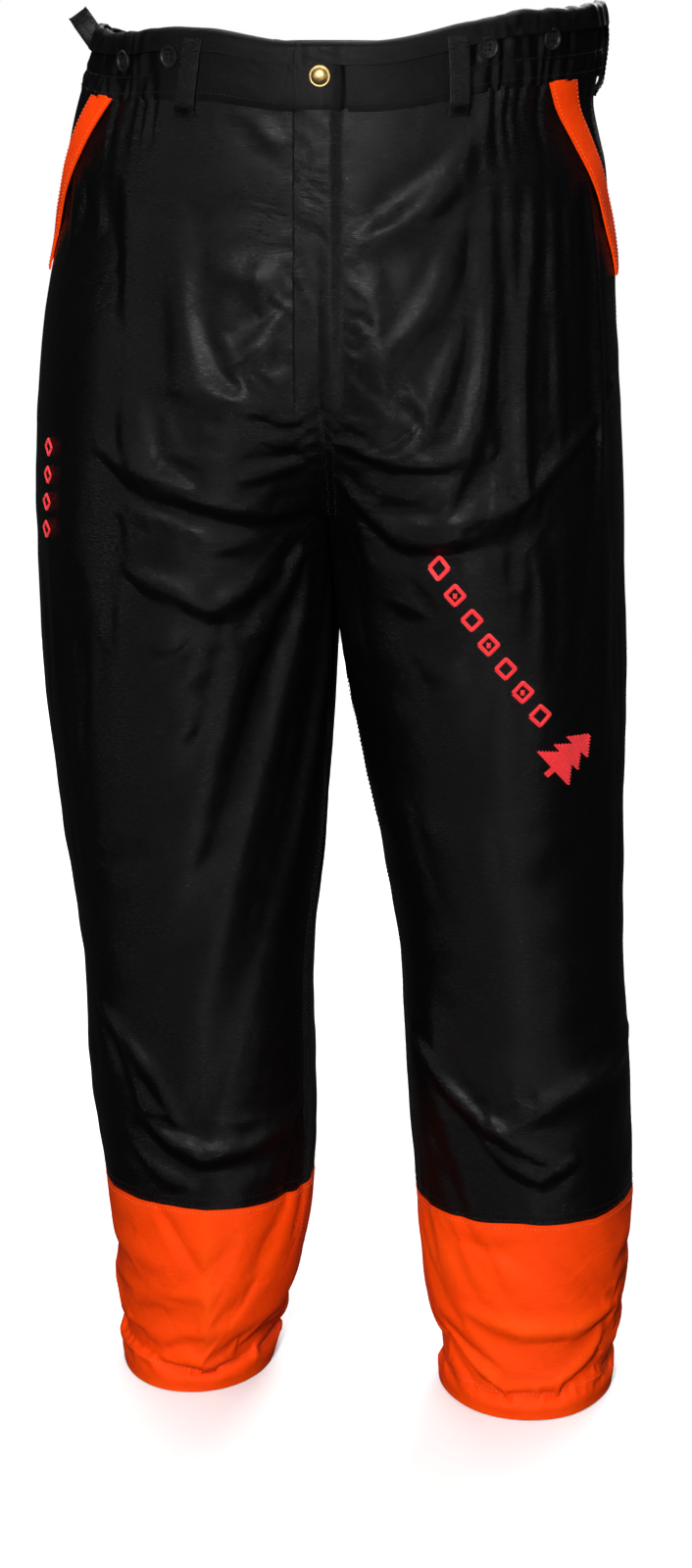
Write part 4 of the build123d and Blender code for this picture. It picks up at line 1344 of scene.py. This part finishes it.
for side_name in SIGN:
    across = np.linspace(0, TRIM_WIDTH, 13)
    edge = 1 - 0.7 * np.abs(across / TRIM_WIDTH * 2 - 1)[None, :] ** 6
    lift = 0.0008 * edge + 0.0017 + np.zeros((90, 1))
    points, normals = mouth_strip(side_name, across, 90)
    points = points + normals * lift[..., None]
    normals = grid_normals(points, normals)
    trim = cloth_sheet("pocket_trim_" + side_name + "_cloth", points, normals, 0.0014)
    finish_piece(trim, "orange", "seat", ["pocket_trim_" + side_name], "hung")
    for column in (1, 11):
        sew(points[:, column] + normals[:, column] * 0.0002, normals[:, column], "thread_orange", "seat")
    points, normals, _ = inside_grid(
        side_name, 0.049, 0.285, lambda d: -0.95 + 0 * d, lambda d: 0.02 + 0 * d, 0.0066, 50, 40)
    ripple = 0.0006 * noise_field(points, 0.03, 4.4)
    points = points - normals * ripple[..., None]
    bag = cloth_sheet("pocket_bag_" + side_name + "_cloth", points, normals, 0.0012)
    finish_piece(bag, "lining", "seat", ["pocket_bag_" + side_name], "hung")


# ------------------------------------------------------------------ rear patch pocket and flap
PATCH_POINT = 0.012         # how much lower a patch's foot is in the middle


def patch(name, x_range, drop_range, lift, body, stands_for):
    """A patch on the wearer's right back, over ranges of x and of drop."""
    rows, columns = 60, 60
    share, down = np.linspace(0, 1, columns)[None, :], np.linspace(0, 1, rows)[:, None]
    x = (x_range[0] + (x_range[1] - x_range[0]) * share) + np.zeros((rows, 1))
    foot = drop_range[1] + PATCH_POINT * (1 - np.abs(2 * share - 1)) - PATCH_POINT / 2
    drop = drop_range[0] + (foot - drop_range[0]) * down
    inward = 1 - np.maximum(np.abs(2 * share - 1) ** 10, np.abs(2 * down - 1) ** 14)
    column = sides["right"].column_at_x(x, drop, 1)
    points, normals = sides["right"].at(column, drop, 0.0)
    raised = lift[0] + (lift[1] - lift[0]) * inward + 0.0008 * inward * noise_field(points, 0.03, 9.1)
    points = points + normals * raised[..., None]
    normals = grid_normals(points, normals)
    piece = cloth_sheet(name, points, normals, 0.0013, wear=1 - inward)
    finish_piece(piece, "back", body, [stands_for], "hung")
    for inset in (2, 5):
        border = [(r, inset) for r in range(inset, rows - inset)]
        border += [(rows - 1 - inset, c) for c in range(inset, columns - inset)]
        border += [(r, columns - 1 - inset) for r in range(rows - 1 - inset, inset, -1)]
        at_row, at_column = np.array(border).T
        outward = normals[at_row, at_column]
        sew(points[at_row, at_column] + outward * 0.0002, outward, "thread_black", body)


patch("rear_pocket_cloth", (0.045, 0.150), (0.128, 0.262), (0.0014, 0.0034), "seat", "rear_pocket")
patch("rear_pocket_flap_cloth", (0.043, 0.152), (0.118, 0.168), (0.0040, 0.0060),
      "rear_pocket_flap", "rear_pocket_flap")


# ------------------------------------------------------------------ belt loops
LOOP_WIDTH = 0.015


def ribbon(which, centre, across, outward, thickness):
    """A belt loop's strip of folded cloth along a centre line; across is the direction of its width."""
    share = np.linspace(-1, 1, 13)
    points = centre[:, None, :] + across[:, None, :] * (share * LOOP_WIDTH / 2)[None, :, None]
    edge = np.abs(share) ** 8
    points = points - outward[:, None, :] * (0.0005 * edge)[None, :, None]
    normals = grid_normals(points, outward[:, None, :])
    thickness = thickness * (1 - 0.3 * edge)[None, :] + np.zeros((len(centre), 1))
    wear = 0.5 * edge[None, :] + np.zeros((len(centre), 1))
    piece = cloth_sheet("belt_loop_" + which + "_cloth", points, normals, thickness, wear=wear)
    finish_piece(piece, "face", "seat", ["belt_loop_" + which])
    for column in (2, 10):
        sew(points[:, column] + normals[:, column] * 0.0002, normals[:, column], "thread_black", "seat")


def belt_loop(which, side_name, angle):
    drops = np.linspace(0.0, 0.056, 44)
    t = np.linspace(0, 1, 44)
    tacked = smooth(t / 0.16) * smooth((1 - t) / 0.16)
    lift = 0.0030 + 0.0036 * tacked
    angles = np.full(44, angle)
    centre = base_point(side_name, angles, drops)
    normals = unit(smooth_normals(side_name, angles, np.maximum(drops, 0.001)) * [1, 1, 0.2])
    beside = base_point(side_name, angles + 0.01, drops)
    across = unit((beside - centre) * [1, 1, 0])
    across = unit(across - normals * (across * normals).sum(-1, keepdims=True))
    drop_top = 0.0018 * (1 - smooth(t / 0.06))
    centre = centre + normals * lift[:, None] - np.array([0, 0, 1.0]) * drop_top[:, None]
    ribbon(which, centre, across, normals, 0.0018)


def angle_at(side_name, x, facing):
    return float(angle_of_x(side_name, x, 0.0285, facing))


belt_loop("front_right", "right", angle_at("right", 0.092, -1))
belt_loop("front_left", "left", angle_at("left", 0.092, -1))
belt_loop("side_left", "left", angle_at("left", 0.1865, 1))
belt_loop("back_right", "right", angle_at("right", 0.100, 1))
belt_loop("back_left", "left", angle_at("left", 0.100, 1))
belt_loop("back_middle", "left", MIDDLE_ANGLE["left"] - 0.002)

# the loop at the right hip has come loose at its top: it stands up and leans out, facing the front
EAR_LENGTH = 0.032
EAR_FOOT = (-0.1635, -0.006, -0.0185)
EAR_UP = unit(np.array([-0.58, 0.0, 0.81]))
EAR_ACROSS = unit(np.array([0.81, 0.10, 0.58]))
EAR_FRONT = np.cross(EAR_ACROSS, EAR_UP)
t = np.linspace(0, 1, 80)
rise = EAR_LENGTH * np.where(t < 0.5, 2 * t, 2 - 1.7 * t - 0.15)
apart = 0.0036 * np.where(t < 0.5, 1, -1) * smooth(np.abs(t - 0.5) / 0.09)
rise = rise + 0.0018 * (1 - smooth(np.abs(t - 0.5) / 0.05))
apart = apart + 0.003 * np.sin(rise / EAR_LENGTH * 3)
centre = np.array(EAR_FOOT) + EAR_UP * rise[:, None] + EAR_FRONT * apart[:, None]
run = unit(np.gradient(centre, axis=0))
ribbon("side_right", centre, np.tile(EAR_ACROSS, (80, 1)), np.cross(EAR_ACROSS, run), 0.0016)


# ------------------------------------------------------------------ brace buttons
BUTTON_OUTLINE = [
    (0, -0.0002), (0.0070, -0.0002), (0.0075, 0.0005), (0.0075, 0.0016), (0.0071, 0.0023), (0.0064, 0.0024),
    (0.0057, 0.0020), (0.0052, 0.0013), (0.0030, 0.0011), (0, 0.0011),
]
HOLE_OUTLINE = [(0, -0.002), (0.0009, -0.002), (0.0009, 0.004), (0, 0.004)]
HOLE_AT = (-0.0016, 0.0016)         # places of the four holes, across and up


def brace_button(name, centre, out):
    """A four-hole button with a raised rim, sewn on through its holes."""
    body = lathe(name, BUTTON_OUTLINE, centre, out)
    up = Vector((0, 0, 1))
    side = Vector(out).cross(up).normalized()
    for a in HOLE_AT:
        for b in HOLE_AT:
            place = Vector(centre) + side * a + up * b
            cutter = lathe("cutter", HOLE_OUTLINE, place, out, 16)
            cut = body.modifiers.new("hole", "BOOLEAN")
            cut.operation, cut.object, cut.solver = "DIFFERENCE", cutter, "EXACT"
            evaluated = body.evaluated_get(bpy.context.evaluated_depsgraph_get())
            applied = bpy.data.meshes.new_from_object(evaluated)
            body.modifiers.clear()
            body.data = applied
            bpy.data.objects.remove(cutter)
    body.data.shade_smooth()
    body.data.set_sharp_from_angle(angle=math.radians(40))
    for b in HOLE_AT:
        ends = [np.array(Vector(centre) + side * a + up * b + Vector(out) * 0.0014) for a in (-0.0021, 0.0021)]
        line = np.array([ends[0], (ends[0] + ends[1]) / 2, ends[1]])
        sew(line, np.tile(np.array(out), (3, 1)), "thread_black", "seat")
    return body


BUTTON_DROP = 0.018
BUTTONS = (             # side, x, and -1 in front or 1 behind
    ("right", 0.152, -1), ("right", 0.110, -1), ("left", 0.110, -1), ("left", 0.152, -1),
    ("right", 0.036, 1), ("left", 0.036, 1),
)
for i, (side_name, x, facing) in enumerate(BUTTONS):
    angle = float(angle_of_x(side_name, x, BUTTON_DROP, facing))
    place = base_point(side_name, np.array(angle), np.array(BUTTON_DROP))
    out = unit(smooth_normals(side_name, np.array(angle), np.array(BUTTON_DROP)) * [1, 1, 0])
    button = brace_button("brace_button_%d" % (i + 1), place + out * (BAND_OUT + 0.0012), out)
    finish_piece(button, "button", "seat", ["brace_buttons"])


# ------------------------------------------------------------------ stitched motifs
def stroke(side_name, line, width, height, close=False):
    """A satin-stitched bar along a line of (x, drop): a rounded strip over the surface."""
    line = np.array(line + line[:1] if close else line, float)
    travel = np.concatenate([[0], np.cumsum(np.linalg.norm(np.diff(line, axis=0), axis=1))])
    count = max(6, int(travel[-1] / 0.0008))
    fine = np.linspace(0, travel[-1], count)
    centre = np.stack([np.interp(fine, travel, line[:, k]) for k in (0, 1)], axis=-1)
    along = unit(np.gradient(centre, axis=0))
    side_step = np.stack([-along[:, 1], along[:, 0]], axis=-1)
    share = np.linspace(-1, 1, 7)
    flat = centre[:, None] + side_step[:, None] * (share * width / 2)[None, :, None]
    column = sides[side_name].column_at_x(flat[..., 0], flat[..., 1], -1)
    ribs = (1 + 0.12 * np.sin(fine / 0.0008 * 2 * math.pi))[:, None]
    lift = 0.0002 + height * np.sqrt(np.maximum(1 - share ** 2, 0))[None, :] * ribs
    points, normals = sides[side_name].at(column, flat[..., 1], 0.0)
    return points + normals * lift[..., None], normals


def motif(name, side_name, strokes, body, stands_for, joint=None):
    verts, faces = [], []
    for line, width, close in strokes:
        points, normals = stroke(side_name, line, width, 0.0011, close)
        rows, columns = points.shape[:2]
        first = len(verts)
        verts += list(points.reshape(-1, 3))
        for r in range(rows - 1):
            for c in range(columns - 1):
                a = first + r * columns + c
                faces.append((a, a + columns, a + columns + 1, a + 1))
    piece = mesh_piece(name, verts, faces)
    finish_piece(piece, "thread_red", body, [stands_for], None, joint)


def fir_tree(x, drop, size, lean):
    """A plain fir tree filled with rows of satin stitch: three tiers and a trunk, turned by lean."""
    cosine, sine = math.cos(math.radians(lean)), math.sin(math.radians(lean))
    rows = 24
    out = []
    for row in range(rows):
        down = row / (rows - 1)             # from the tip to the trunk's foot
        tier = min(2, int(down / 0.28))
        reach = 0.10 + 0.17 * tier + 0.62 * (down / 0.28 - tier) if down < 0.84 else 0.13
        line = [(-reach, 2 * down - 1), (reach, 2 * down - 1)]
        placed = [(x + size * (a * cosine - b * sine), drop + size * (a * sine + b * cosine)) for a, b in line]
        out.append((placed, 2.4 * size / rows, False))
    return out


def lozenge(x, drop, half_width, half_height, thread):
    """The outline of a lozenge as one closed stroke."""
    corners = [(x - half_width, drop), (x, drop - half_height), (x + half_width, drop), (x, drop + half_height)]
    return corners, thread, True


strokes = []
for step in range(7):
    share = step / 6
    x, drop = 0.084 + 0.072 * share, 0.357 + 0.110 * share
    strokes.append(lozenge(x, drop, 0.0068, 0.0075, 0.0030))
    if step % 2:
        strokes.append(([(x, drop - 0.002), (x, drop + 0.002)], 0.0030, False))
strokes += fir_tree(0.1760, 0.5010, 0.0185, 52)
motif("thigh_motif_left_stitching", "left", strokes, None, "thigh_motif_left", "hip")
strokes = [lozenge(0.2065 + 0.0012 * step, 0.290 + 0.020 * step, 0.003, 0.006, 0.0011) for step in range(4)]
motif("side_motif_right_stitching", "right", strokes, "seat", "side_motif_right")


# ------------------------------------------------------------------ thread pieces
for (look, place, side_name), (verts, faces) in threads.items():
    name = "_".join(["stitching", look.split("_")[1], place] + ([side_name] if side_name else []))
    piece = mesh_piece(name, verts, faces)
    if side_name:
        finish_piece(piece, look, joint=place)
    else:
        finish_piece(piece, look, place)


# ------------------------------------------------------------------ floor, light and camera
FLOOR_HALF, FLOOR_Z = 2.2, -OUTSEAM - 0.001
FLOOR_CORNERS = [(FLOOR_HALF * a, FLOOR_HALF * b, FLOOR_Z) for a, b in ((-1, -1), (1, -1), (1, 1), (-1, 1))]
floor = mesh_piece("floor", FLOOR_CORNERS, [(0, 1, 2, 3)])
pale = bpy.data.materials.new("floor_pale")
tree, shader, add = nodes_of(pale)
grain = add("TexNoise", Scale=3.0, Detail=4.0)
tree.links.new(add("TexCoord").outputs["Object"], grain.inputs["Vector"])
mottle = ramp(add, tree, grain.outputs[0], 0.3, 0.7)
tree.links.new(mix_colour(add, tree, mottle, (0.86,) * 3, (0.90,) * 3), shader.inputs["Base Color"])
shader.inputs["Roughness"].default_value = 0.9
shader.inputs["Specular IOR Level"].default_value = 0.1
floor.data.materials.append(pale)
floor.visible_diffuse = floor.visible_glossy = False    # the garment is dark: no light comes up to it

world = bpy.data.worlds.new("studio")
bpy.context.scene.world = world
world.use_nodes = True
background = world.node_tree.nodes["Background"]
background.inputs["Color"].default_value = (1, 1, 1, 1)
sky = world.node_tree.nodes.new("ShaderNodeMapRange")   # the backdrop is white, the light from it is dim
sky.inputs[3].default_value, sky.inputs[4].default_value = 0.035, 1.0
seen = world.node_tree.nodes.new("ShaderNodeLightPath")
world.node_tree.links.new(seen.outputs["Is Camera Ray"], sky.inputs[0])
world.node_tree.links.new(sky.outputs[0], background.inputs["Strength"])


def area_light(name, place, target, width, height, power):
    light = bpy.data.lights.new(name, "AREA")
    light.shape, light.size, light.size_y, light.energy = "RECTANGLE", width, height, power
    lamp = bpy.data.objects.new(name, light)
    bpy.context.collection.objects.link(lamp)
    lamp.location = place
    lamp.rotation_euler = (Vector(target) - Vector(place)).to_track_quat("-Z", "Y").to_euler()


MIDDLE = (0, 0, -0.52)
area_light("key", (-0.25, -2.6, 0.42), MIDDLE, 0.45, 0.45, 105)
area_light("fill", (1.8, -2.2, -0.2), MIDDLE, 1.0, 1.4, 9)
area_light("back_fill", (0.6, 2.8, 0.9), MIDDLE, 1.2, 1.2, 45)
area_light("overhead", (0, 0.2, 2.8), MIDDLE, 3.0, 3.0, 110)
area_light("floor_wash", (0, 1.9, 2.6), (0, 1.9, -1), 3.0, 2.0, 120)

CAMERA_AZIMUTH = math.radians(4.5)
CAMERA_DISTANCE = 2.415
CAMERA_Z = 0.196
CAMERA_AIM = Vector((0.007, 0, -0.560))
camera_data = bpy.data.cameras.new("camera")
camera_data.lens, camera_data.sensor_width = 76.9, 36
camera = bpy.data.objects.new("camera", camera_data)
bpy.context.collection.objects.link(camera)
camera.location = (
    CAMERA_AIM.x + CAMERA_DISTANCE * math.sin(CAMERA_AZIMUTH),
    -CAMERA_DISTANCE * math.cos(CAMERA_AZIMUTH),
    CAMERA_Z,
)
camera.rotation_euler = (CAMERA_AIM - camera.location).to_track_quat("-Z", "Y").to_euler()
bpy.context.scene.camera = camera
bpy.context.scene.view_settings.view_transform = "Standard"
